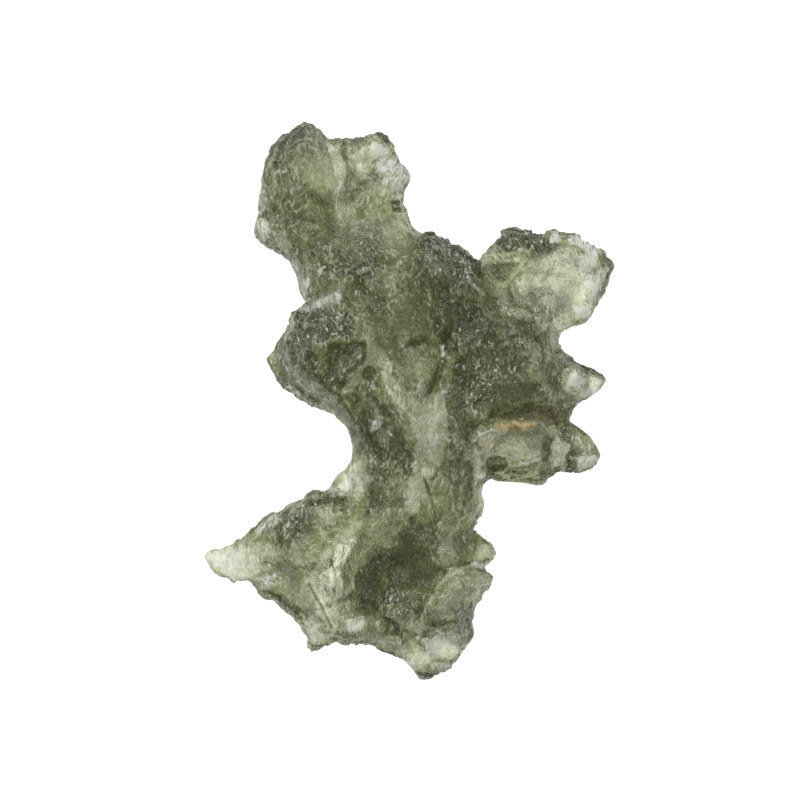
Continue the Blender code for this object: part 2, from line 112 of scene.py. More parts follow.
# Colours
OLIVE = (0.24, 0.26, 0.1)
OLIVE_SHADE = 0.82                # the darker of two olives, as a share
PALE_GREEN = (0.97, 0.98, 0.76)
DARK_OLIVE = (0.062, 0.071, 0.015)
# Neutral grey: painted reflection of the sky on smooth facets
NEUTRAL_GREY = (0.28, 0.29, 0.24)
# Frost white also colours the painted glints and the painted light on crests
FROST_WHITE = (0.95, 0.96, 0.92)
OCHRE = (0.56, 0.44, 0.21)
# Umber: painted shade in the deep crease, with a sediment tint
UMBER = (0.1, 0.085, 0.035)

# Patterns of the surface
STREAK_BEND = (4.0, 3.6)          # cell size and reach of the bends
STREAK_WIDTHS = (0.15, 0.5, 0.2)  # along X, Y and Z
STROKE_BEND = (6.0, 5.0)
STROKE_WIDTHS = (0.14, 0.5, 0.2)
# Noises as (cell size, detail), and where they start and are full if that isn't usual
FLECK_NOISE = (0.13, 2.0)
GRAIN_NOISE = (0.45, 5.0)
MOTTLE_NOISE = (1.3, 4.0)
ROUGH_PATCH_NOISE = (1.7, 3.0, 0.45, 0.7)
STAIN_NOISE = (0.22, 4.0)
ARC_CELL = 3.0
ARC_SPACING = 0.3
ARC_BEND = (1.0, 0.35)

# How each mark starts: (start, full strength, how far a grain shifts its edge)
MARK_EDGES = {
    "pale": (0.1, 0.75, 0.3),
    "dark": (0.2, 0.62, 0.35),
    "grey": (0.15, 0.75, 0.3),
    "brown": (0.3, 0.6, 0.4),
    "rough": (0.3, 0.6, 0.4),
    "frost": (0.2, 0.85, 0.8),
    "sediment": (0.45, 0.7, 1.0),
}
# White flecks: where the pattern named starts and is full
DOT_RANGE = (0.3, 0.9)            # of the flecks
DOT_STRENGTH = (0.12, 0.05)       # outside and inside dark areas
CHIP_STROKES = (0.66, 0.86)
CHIP_FLECKS = (0.2, 0.5)
CHIP_GRAIN = (0.15, 0.65)
CHIP_CALM = 0.15                  # strength outside rough areas
# White crests: partly wear, partly painted light on crests
WORN_AND_LIT_CRESTS = (0.68, 0.95)
WORN_AND_LIT_RISES = (0.55, 0.8)
WORN_AND_LIT_STREAKS = (0.4, 0.8)
WORN_AND_LIT_STRENGTH = 0.6
CHIP_STRENGTH = 0.9               # of chips and of crests worn white and lit by painted light, together
# Glints: painted highlights, white strokes in the colour
GLINT_STROKES = (0.9, 1.0)
GLINT_GRAIN = (0.72, 0.85)
SMOOTH_FLECKS = 0.4               # strength on smooth areas
SMOOTH_BY_PALE = 0.7              # how smooth a pale area is
STRAY_ROUGH = 0.5                 # rough patches outside dark areas
CRACK_STROKES = (0.34, 0.14)
CRACK_STRENGTH = (0.15, 0.6)      # outside and inside rough areas
RIM_THIN = (0.25, 0.8)
RIM_STREAKS = (0.2, 0.7)
FROST_SCRATCHES = (0.22, 0.46)
FROST_DARKEST = 0.5
FROST_GRAIN = 0.5                 # share of grain among the strokes that break up its edge
FROST_FLECKS = 0.6                # share of flecks among the strokes that scratch it
# Brightness as a share: the least and the most that a pattern gives. The crest and rise shares are
# painted shade in hollows and painted light on crests
TONES = {"streaks": (0.8, 1.1), "arcs": (0.94, 1.04), "crest": (0.76, 1.22), "rise": (0.7, 1.2)}
EVEN_TONE = 1.08                  # of smooth areas
EVEN_SHARE = 0.6                  # how much of the patterns smooth areas lose
CRACK_TONE = 0.36
# Steep sides: painted light, their colour brightened
STEEP_TONE = 1.85
# Transmission and roughness; each mark takes over from those before it
CLEAR_GLASS = 0.98
MARK_CLEARNESS = {"grey": 0.8, "frost": 0.4, "sediment": 0.0}
GLASS_ROUGHNESS = (0.2, 0.32)     # between and on the flecks
MARK_ROUGHNESS = {"grey": 0.26, "frost": 0.45, "sediment": 0.9}
BUMPS = {"streaks": 0.4, "strokes": 0.5, "fleck": 0.12, "arcs": 0.25}
BUMP_DEPTH = 0.06

# Areas of the upper face: (softness of the edge, strength, outline)
PALE_AREAS = {
    "main stripe": (0.25, 1.0, [
        (1.0, 0.3), (2.35, 0.7), (2.45, -1.0), (2.3, -2.5), (1.9, -3.8), (1.4, -4.8), (0.5, -7.3),
        (-0.2, -6.6), (0.2, -4.6), (0.4, -3.1), (0.5, -1.2)
    ]),
    "trunk stripe": (0.3, 0.8, [
        (-3.1, 4.0), (-2.2, 4.0), (-1.3, 2.6), (-0.8, 1.2), (0.3, 0.5), (0.9, -0.3), (0.6, -2.0),
        (-0.3, -0.6), (-1.1, 0.1), (-1.4, 1.0), (-2.5, 2.4)
    ]),
    "trunk wash": (0.6, 0.6, [
        (-0.6, 3.8), (0.6, 3.2), (1.6, 2.4), (1.5, 0.8), (0.4, 0.3), (-0.3, 1.6)
    ]),
    "arm corner": (0.25, 0.7, [(-4.4, 0.6), (-3.1, 1.7), (-2.5, 1.15), (-3.7, 0.35)]),
    "kite": (0.15, 1.0, [
        (-5.0, 16.1), (-4.5, 15.5), (-3.9, 14.8), (-3.9, 14.3), (-4.0, 13.5), (-4.4, 12.7),
        (-4.9, 13.2), (-5.25, 13.7), (-5.25, 15.0)
    ]),
    "left head wash": (0.5, 0.45, [
        (-6.1, 16.2), (-5.3, 16.4), (-5.0, 12.8), (-5.4, 12.6), (-6.4, 13.8)
    ]),
    "right head": (0.6, 0.35, [
        (-3.9, 15.6), (-1.4, 15.8), (-1.2, 13.2), (-2.4, 13.0), (-3.6, 13.8)
    ]),
    "head crown wash": (0.3, 0.8, [(-5.4, 16.4), (-4.6, 16.2), (-4.4, 15.6), (-5.4, 15.4)]),
    "neck top": (0.6, 0.5, [
        (-4.8, 13.1), (-4.2, 13.1), (-2.8, 11.2), (-3.2, 10.4), (-3.9, 9.0), (-4.6, 9.2)
    ]),
    "right head low": (0.4, 0.5, [(-3.4, 13.9), (-1.2, 13.6), (-0.6, 12.6), (-2.6, 12.9)]),
    "neck side": (0.4, 0.7, [
        (-1.0, 13.0), (-0.4, 12.8), (-0.2, 10.6), (0.6, 10.2), (0.4, 9.9), (-0.8, 10.6)
    ]),
    "neck right": (0.8, 0.3, [
        (-3.6, 11.6), (-2.4, 11.9), (-0.1, 11.4), (0.2, 9.6), (-1.0, 8.8), (-2.6, 9.6)
    ]),
    "wing field": (0.55, 0.66, [
        (7.3, 8.2), (8.4, 8.8), (9.4, 9.4), (10.6, 9.7), (11.6, 9.0), (11.4, 7.8), (10.6, 6.6),
        (9.8, 5.6), (7.9, 5.5), (6.8, 5.8), (6.5, 6.9)
    ]),
    "wing base": (0.25, 0.6, [
        (4.2, 8.4), (4.6, 9.1), (5.1, 9.4), (6.2, 8.9), (7.1, 8.7), (5.9, 8.5)
    ]),
    "wing side": (0.4, 0.7, [(10.2, 7.6), (11.8, 7.4), (11.5, 5.6), (10.3, 4.9)]),
    "wing notch": (0.2, 0.9, [(8.6, 4.3), (9.6, 4.2), (9.6, 3.4), (8.9, 3.2)]),
    "wing lower": (0.5, 0.7, [
        (5.6, 6.4), (6.6, 5.9), (8.0, 5.6), (9.2, 6.1), (10.4, 5.8), (10.2, 4.8), (8.8, 4.2),
        (7.6, 4.9), (5.6, 5.4)
    ]),
    "trough": (0.45, 1.0, [
        (-4.4, -8.2), (-3.1, -7.6), (-3.3, -8.7), (-3.8, -10.0), (-4.4, -10.6), (-4.2, -11.4),
        (-4.4, -12.2), (-4.7, -13.4), (-5.0, -14.1), (-5.7, -13.2), (-6.1, -11.8), (-6.2, -10.8),
        (-5.4, -9.7), (-4.7, -8.7)
    ]),
    "trough foot": (0.3, 0.45, [
        (-5.0, -11.1), (-4.5, -11.4), (-4.4, -12.6), (-3.4, -13.6), (-2.6, -14.4), (-4.7, -14.3),
        (-5.3, -13.2)
    ]),
    "left skirt": (0.6, 0.38, [
        (-9.6, -9.0), (-7.6, -9.4), (-6.4, -8.0), (-5.5, -8.4), (-5.4, -9.8), (-6.2, -10.4),
        (-8.4, -10.4), (-9.6, -10.8)
    ]),
    "knob": (0.3, 0.9, [(-5.6, -6.9), (-4.8, -6.6), (-4.3, -7.1), (-5.0, -7.6)]),
    "skirt patch": (0.4, 0.28, [
        (-2.6, -7.2), (-1.2, -6.8), (-0.9, -7.3), (-1.8, -8.2), (-2.8, -9.0), (-3.3, -9.4),
        (-3.0, -8.2)
    ]),
    "left tip": (0.4, 0.45, [
        (-12.9, -9.7), (-10.9, -9.0), (-9.6, -9.0), (-9.4, -11.0), (-10.9, -11.8), (-11.9, -10.7)
    ]),
    "web": (0.4, 0.6, [
        (-4.7, -5.5), (-3.3, -3.6), (-2.1, -4.4), (-1.7, -5.3), (-2.8, -6.0), (-4.3, -6.0)
    ]),
    "skirt facet": (0.4, 0.35, [
        (4.2, -10.4), (5.4, -11.1), (4.4, -12.8), (4.1, -14.5), (3.0, -15.8), (2.4, -14.2),
        (1.2, -14.0), (1.8, -12.2), (2.6, -11.0)
    ]),
    "skirt spike": (0.3, 0.35, [
        (4.8, -8.9), (5.6, -9.4), (5.3, -9.9), (4.2, -10.1), (3.6, -10.0), (4.2, -9.6)
    ]),
    "skirt right": (0.7, 0.65, [(0.8, -8.6), (2.6, -8.2), (2.8, -9.6), (1.6, -10.2)]),
    "waist rim": (0.2, 0.7, [(4.1, -5.0), (4.8, -5.3), (4.9, -7.0), (4.2, -7.2)]),
    "fin upper": (0.4, 0.55, [
        (4.1, -2.6), (5.2, -1.8), (7.6, -1.6), (8.4, -2.4), (7.6, -3.5), (5.4, -3.0), (4.5, -3.4)
    ]),
    "fin side": (0.3, 0.7, [(4.0, -2.6), (4.6, -3.2), (4.6, -4.8), (3.9, -5.2)]),
    "fin fan": (0.2, 0.8, [(9.0, -2.2), (10.0, -2.5), (9.9, -3.6), (9.2, -4.0)]),
    "fin knob": (0.2, 0.4, [(7.2, -4.1), (7.9, -4.1), (8.1, -4.7), (7.3, -4.8)]),
    "spike": (0.4, 0.7, [
        (9.4, 1.9), (10.8, 2.1), (12.2, 1.3), (11.6, 0.5), (10.4, 0.3), (9.5, 0.9)
    ]),
    "flank wash": (0.6, 0.35, [(6.2, 3.2), (8.8, 3.2), (9.4, 0.9), (8.0, 0.3), (6.6, 1.6)]),
    "shoulder wash": (0.4, 0.4, [(1.6, 7.4), (2.6, 7.2), (2.6, 6.5), (1.6, 6.4)]),
    "bottom lobe": (0.4, 0.6, [
        (1.2, -14.6), (2.0, -14.3), (3.3, -15.4), (3.0, -16.2), (1.3, -16.1)
    ]),
    "hem right": (0.4, 0.7, [(0.2, -15.2), (1.4, -15.6), (1.9, -16.5), (0.7, -16.9), (0.2, -16.2)]),
    "bowl hem": (0.4, 0.5, [(-0.8, -13.6), (0.6, -13.4), (0.9, -14.4), (-0.2, -14.6)]),
    "hem": (0.2, 0.3, [(-2.6, -15.1), (-0.6, -15.0), (0.4, -15.9), (0.3, -16.6), (-0.8, -15.8)]),
    "hem foot": (0.3, 0.4, [(-6.5, -13.9), (-5.7, -13.9), (-4.8, -15.0), (-6.2, -15.2)]),
}
DARK_AREAS = {
    "shoulder root": (0.6, 0.85, [
        (0.4, 8.6), (1.8, 10.2), (2.4, 8.4), (2.2, 6.0), (1.2, 5.8), (0.6, 7.0)
    ]),
    "shoulder": (0.3, 1.0, [
        (0.6, 9.5), (1.2, 10.6), (2.3, 10.2), (3.4, 9.5), (4.3, 8.7), (4.8, 7.5), (3.6, 7.6),
        (2.2, 8.0), (1.3, 7.8), (1.0, 8.8)
    ]),
    "ledge": (0.5, 1.0, [
        (1.2, 8.4), (2.9, 8.2), (4.0, 7.3), (4.3, 6.5), (3.3, 6.1), (1.7, 6.4), (1.0, 7.2)
    ]),
    "shoulder foot": (0.4, 0.65, [
        (2.0, 6.2), (3.4, 6.3), (4.5, 6.1), (4.8, 5.2), (4.2, 4.5), (2.9, 5.0)
    ]),
    "flank": (0.8, 0.6, [
        (2.6, 5.2), (4.6, 4.6), (7.2, 3.9), (7.6, 2.4), (9.4, -0.7), (5.0, -1.0), (3.2, 0.4)
    ]),
    "flank top": (0.5, 1.0, [
        (2.9, 5.4), (5.0, 5.0), (5.9, 3.4), (5.0, 2.6), (4.0, 3.0), (3.0, 4.4)
    ]),
    "flank dish": (0.4, 0.6, [(5.9, 1.4), (8.2, 1.2), (8.8, 0.2), (6.8, -0.4), (6.0, 0.3)]),
    "trunk top": (0.4, 0.95, [
        (0.9, 7.6), (2.0, 6.4), (2.8, 5.0), (3.2, 2.9), (2.4, 2.7), (1.4, 4.8)
    ]),
    "trunk right": (0.35, 0.85, [
        (2.5, 2.8), (3.5, 2.6), (3.6, -0.8), (3.4, -3.2), (3.2, -7.4), (2.6, -6.0), (2.7, -1.6)
    ]),
    "gully": (0.16, 0.9, [
        (2.3, 2.6), (2.0, 1.3), (1.45, 0.65), (1.15, 0.0), (1.05, 0.8), (1.7, 1.95), (2.0, 2.6)
    ]),
    "arm outer": (0.3, 1.0, [
        (-7.3, 4.2), (-6.2, 4.2), (-5.8, 3.4), (-5.6, 1.8), (-6.6, 1.8), (-7.1, 2.8)
    ]),
    "arm cup": (0.3, 1.0, [
        (-4.9, 3.5), (-2.7, 3.7), (-2.6, 2.6), (-3.3, 1.8), (-4.2, 0.8), (-5.6, 0.8), (-5.2, 2.0)
    ]),
    "arm root": (0.3, 0.8, [(-3.1, 1.2), (-2.2, 1.2), (-2.0, 0.2), (-2.8, -0.6), (-3.6, -0.3)]),
    "arm top": (0.3, 0.8, [
        (-7.2, 5.5), (-6.0, 5.9), (-3.4, 5.4), (-3.0, 4.4), (-5.6, 3.6), (-6.9, 4.4)
    ]),
    "arm pit": (0.2, 0.95, [
        (-2.95, 1.8), (-2.6, 2.1), (-2.1, 2.1), (-1.85, 1.6), (-2.2, 1.3), (-2.8, 1.35)
    ]),
    "trunk left": (0.3, 1.0, [
        (-3.2, -1.0), (-2.6, -0.2), (-1.8, -1.2), (-0.4, -2.1), (0.3, -3.6), (0.3, -4.6),
        (-0.2, -4.7), (-1.1, -3.5), (-2.3, -3.2), (-3.1, -2.4)
    ]),
    "trunk right of chip": (0.4, 0.95, [
        (-2.6, 0.3), (-1.5, 0.2), (-0.7, -1.0), (-0.2, -2.5), (-1.6, -2.2), (-2.6, -0.8)
    ]),
    "waist right": (0.3, 0.9, [(3.3, -3.6), (4.0, -4.0), (4.0, -6.8), (3.3, -7.2)]),
    "facet left": (0.5, 0.7, [
        (0.8, -12.4), (2.2, -12.8), (2.4, -13.9), (1.2, -14.2), (0.7, -13.6)
    ]),
    "trunk foot": (0.4, 0.85, [
        (-2.9, -2.6), (-1.6, -3.6), (-1.3, -5.2), (-1.7, -7.0), (-2.9, -7.4), (-2.5, -5.4),
        (-2.3, -3.8)
    ]),
    "crest hollow": (0.4, 0.8, [(-7.8, -7.4), (-6.4, -7.2), (-6.2, -8.2), (-7.4, -8.9)]),
    "head rim": (0.4, 0.6, [
        (-8.9, 13.8), (-8.4, 15.9), (-7.0, 17.2), (-6.2, 17.4), (-6.4, 16.0), (-7.6, 15.2),
        (-8.2, 13.6)
    ]),
    "head facet": (0.25, 0.6, [
        (-6.8, 12.9), (-5.9, 13.2), (-5.1, 12.7), (-4.7, 12.2), (-5.6, 11.9), (-6.6, 12.6)
    ]),
    "head left": (0.8, 0.6, [
        (-8.4, 15.4), (-7.2, 15.2), (-6.4, 13.6), (-5.8, 12.2), (-5.8, 11.0), (-8.0, 10.9),
        (-8.6, 12.4)
    ]),
    "head crown": (0.2, 0.6, [
        (-4.8, 16.2), (-4.2, 16.5), (-2.7, 16.6), (-2.9, 16.0), (-4.1, 15.9)
    ]),
    "head tip": (0.25, 0.6, [(-2.1, 16.6), (-1.5, 17.0), (-0.9, 16.6), (-1.1, 15.9), (-1.8, 16.1)]),
    "head ledge": (0.12, 0.8, [(-1.3, 12.6), (-0.2, 12.5), (-0.1, 11.8), (-1.0, 11.8)]),
    "neck": (0.8, 0.5, [
        (-5.4, 11.6), (-3.8, 11.0), (-3.0, 8.4), (-3.8, 6.8), (-5.6, 8.2), (-6.4, 10.0)
    ]),
    "neck band": (0.5, 0.85, [
        (-6.2, 9.8), (-5.2, 9.6), (-4.6, 8.4), (-1.9, 8.8), (-1.9, 7.8), (-4.4, 7.4), (-5.6, 8.4)
    ]),
    "neck foot": (0.6, 0.6, [
        (-4.2, 8.8), (-2.9, 8.6), (-2.2, 6.9), (-0.6, 6.0), (-2.6, 5.3), (-3.4, 7.0)
    ]),
    "trunk crease": (0.25, 0.7, [(-0.2, 3.3), (0.2, 3.9), (1.2, 4.2), (1.1, 3.6), (0.3, 3.2)]),
    "bowl": (0.7, 0.8, [
        (-0.4, -7.3), (1.8, -7.2), (1.9, -8.6), (1.8, -10.2), (2.3, -11.0), (1.6, -12.2),
        (0.8, -13.3), (-1.3, -12.8), (-2.0, -13.6), (-3.1, -13.2), (-4.0, -12.4), (-3.9, -11.3),
        (-3.2, -10.6), (-2.3, -9.7), (-1.1, -9.2), (-0.6, -8.4)
    ]),
    "bowl deep": (0.4, 0.95, [
        (-1.6, -9.2), (-0.4, -9.0), (0.8, -10.6), (0.6, -11.8), (-0.6, -12.0), (-1.6, -10.9),
        (-2.8, -11.9), (-3.2, -10.6), (-2.8, -9.9)
    ]),
    "trough strokes": (0.4, 0.5, [(-5.3, -11.6), (-4.5, -11.6), (-4.3, -12.8), (-5.2, -12.9)]),
    "bowl foot": (0.3, 0.6, [
        (-2.5, -13.5), (-1.4, -13.1), (-0.4, -14.4), (-0.2, -15.1), (-1.5, -14.6)
    ]),
    "skirt gully": (0.2, 0.9, [(-8.4, -7.9), (-7.9, -7.7), (-7.6, -8.9), (-8.0, -9.2)]),
    "tip gully": (0.12, 0.7, [(-10.95, -9.1), (-10.6, -9.0), (-10.6, -9.6), (-10.9, -9.6)]),
    "skirt crest": (0.3, 0.65, [
        (-6.2, -5.6), (-4.4, -5.8), (-3.4, -6.2), (-3.8, -6.9), (-5.0, -6.5), (-6.4, -6.7)
    ]),
    "skirt crest outer": (0.3, 0.5, [(-8.0, -7.1), (-7.1, -6.5), (-6.3, -7.0), (-6.8, -7.8)]),
    "hem edge": (0.2, 0.8, [
        (-9.2, -11.9), (-8.4, -12.3), (-6.9, -13.6), (-6.6, -13.0), (-7.6, -12.2), (-8.9, -11.4)
    ]),
    "wing knob": (0.15, 1.0, [
        (5.6, 10.5), (6.1, 10.8), (7.8, 10.6), (7.7, 10.1), (7.1, 9.8), (6.7, 9.3), (6.1, 9.2),
        (5.5, 9.8)
    ]),
    "wing smoke": (0.35, 0.75, [
        (7.4, 9.8), (7.9, 10.4), (8.6, 10.3), (9.5, 9.8), (9.0, 9.3), (8.3, 8.8), (7.5, 8.9)
    ]),
    "wing tip": (0.25, 0.8, [
        (11.8, 9.3), (12.5, 9.1), (12.9, 8.2), (12.4, 7.6), (11.8, 7.7), (12.0, 8.6)
    ]),
    "wing facet": (0.1, 0.55, [
        (4.9, 8.6), (6.0, 8.6), (6.95, 8.6), (6.6, 7.9), (6.2, 7.4), (5.4, 7.5)
    ]),
    # The crease: painted shade in the deep crease between body and fin
    "crease": (0.3, 1.0, [
        (5.4, -0.9), (6.6, -0.3), (7.8, -0.1), (9.2, -0.3), (9.2, -1.4), (8.6, -1.5), (7.9, -1.3),
        (6.4, -1.3)
    ]),
    "trunk high": (0.8, 0.3, [(-1.9, 6.8), (-0.2, 6.9), (0.9, 5.6), (0.9, 4.6), (-1.4, 4.8)]),
    "skirt top": (0.6, 0.25, [
        (-4.0, -7.0), (-2.7, -7.0), (-0.9, -8.4), (-1.2, -9.0), (-2.6, -10.6), (-3.2, -9.4)
    ]),
    "flank root": (0.6, 0.7, [(2.4, -1.2), (4.2, -1.0), (4.2, -2.2), (3.4, -3.6), (2.5, -3.4)]),
    "flank side": (0.6, 0.6, [(7.6, 3.2), (8.8, 2.9), (9.7, 0.9), (8.9, 0.3), (7.9, 1.6)]),
    "trunk spur": (0.4, 0.7, [(-2.3, 2.2), (-1.6, 2.2), (-1.5, 0.8), (-2.1, 0.9)]),
    "neck gloom": (0.6, 0.5, [
        (-2.2, 11.6), (-1.2, 11.4), (-1.4, 9.0), (-3.0, 7.2), (-4.2, 8.2), (-2.6, 9.4)
    ]),
    "wing low": (0.6, 0.55, [(8.8, 6.4), (9.8, 7.2), (10.4, 5.8), (9.8, 4.8), (8.8, 5.2)]),
    "wing root": (0.6, 0.7, [(5.6, 5.1), (7.2, 5.0), (8.4, 4.2), (8.4, 3.4), (5.9, 3.4)]),
    "wing edge": (0.2, 0.5, [(12.5, 7.5), (12.1, 6.6), (11.4, 6.0), (11.2, 6.4), (12.0, 7.5)]),
    "fin eye": (0.12, 1.0, [
        (4.8, -3.7), (5.3, -3.4), (5.8, -3.5), (6.2, -3.9), (5.8, -4.3), (5.0, -4.4)
    ]),
    "fin band": (0.25, 0.6, [
        (6.2, -3.9), (7.2, -4.0), (8.3, -3.6), (8.2, -4.2), (7.0, -4.7), (6.1, -4.6)
    ]),
    "fin dark": (0.15, 1.0, [
        (8.2, -2.5), (8.6, -2.1), (9.0, -2.4), (8.8, -3.4), (9.0, -4.6), (8.2, -4.6)
    ]),
    "fin ring": (0.2, 1.0, [
        (9.8, -3.4), (10.2, -3.0), (11.1, -3.0), (11.3, -3.3), (10.4, -3.4), (10.1, -4.0),
        (10.6, -4.4), (9.9, -4.3)
    ]),
    "fin back": (0.2, 0.35, [
        (9.4, -1.2), (10.4, -1.5), (11.8, -3.0), (11.0, -2.6), (9.8, -2.2), (9.0, -1.8)
    ]),
    "fin hem": (0.15, 0.6, [(8.0, -4.7), (9.2, -4.4), (9.0, -5.0), (8.2, -5.3)]),
    "spike crest": (0.15, 1.0, [(9.7, 2.6), (11.2, 2.7), (12.5, 1.6), (12.2, 1.3), (10.8, 1.7)]),
    "hem corner": (0.2, 0.9, [
        (-6.4, -15.0), (-5.4, -15.2), (-4.9, -15.5), (-5.6, -16.0), (-6.3, -15.7)
    ]),
    "facet rough": (0.6, 0.85, [(2.6, -12.8), (4.0, -12.6), (4.1, -14.8), (3.0, -15.2)]),
    "spike root": (0.4, 0.5, [(3.2, -8.6), (4.3, -8.5), (4.6, -9.4), (3.8, -9.9), (2.8, -9.6)]),
    "bottom tip": (0.2, 0.7, [
        (0.6, -16.9), (1.4, -16.9), (2.1, -17.0), (1.2, -17.5), (0.7, -17.3)
    ]),
    "facet edge": (0.2, 0.5, [
        (4.4, -12.6), (4.1, -14.6), (3.1, -15.9), (3.1, -15.2), (3.7, -14.2), (4.0, -12.8)
    ]),
}
# Grey areas: smoother facets, etched less, with a neutral grey painted in as the sky's reflection on
# them
GREY_AREAS = {
    "wing field": (0.6, 0.42, [
        (6.6, 6.2), (7.4, 8.4), (9.6, 9.4), (11.4, 9.0), (11.4, 7.6), (9.8, 5.4), (7.6, 5.2)
    ]),
    "arm bevel": (0.15, 0.9, [
        (-7.0, 1.6), (-6.4, 1.7), (-4.9, 0.5), (-4.3, 0.1), (-3.1, -1.7), (-2.8, -3.1),
        (-3.4, -3.0), (-3.9, -1.5), (-4.8, -0.4), (-6.2, 0.4)
    ]),
    "arm outer facet": (0.2, 0.6, [
        (-8.6, 2.8), (-7.6, 4.0), (-7.3, 2.8), (-6.8, 1.7), (-7.5, 1.3)
    ]),
    "web": (0.3, 0.35, [(-4.3, -5.3), (-3.3, -3.8), (-2.1, -4.4), (-1.9, -5.4), (-2.8, -5.8)]),
    "ledge": (0.3, 0.2, [
        (1.2, 7.6), (2.9, 7.7), (3.6, 7.3), (4.2, 6.5), (3.3, 6.1), (1.9, 6.4), (1.3, 6.9)
    ]),
    "skirt ridge": (0.25, 0.5, [
        (-8.3, -10.0), (-7.2, -10.2), (-6.5, -11.1), (-5.5, -12.8), (-5.0, -13.9), (-5.5, -14.2),
        (-6.3, -13.3), (-7.3, -12.0), (-8.1, -11.1)
    ]),
    "hem band": (0.2, 0.45, [
        (-5.1, -14.2), (-2.4, -14.5), (-0.9, -14.9), (-1.6, -15.3), (-3.6, -15.0), (-5.0, -14.8)
    ]),
    "fin facet": (0.25, 0.45, [
        (4.1, -2.4), (5.2, -1.8), (7.2, -1.8), (8.9, -1.5), (9.2, -2.1), (8.3, -2.5), (8.1, -3.6),
        (6.7, -3.6), (5.0, -3.2), (4.3, -3.6)
    ]),
}
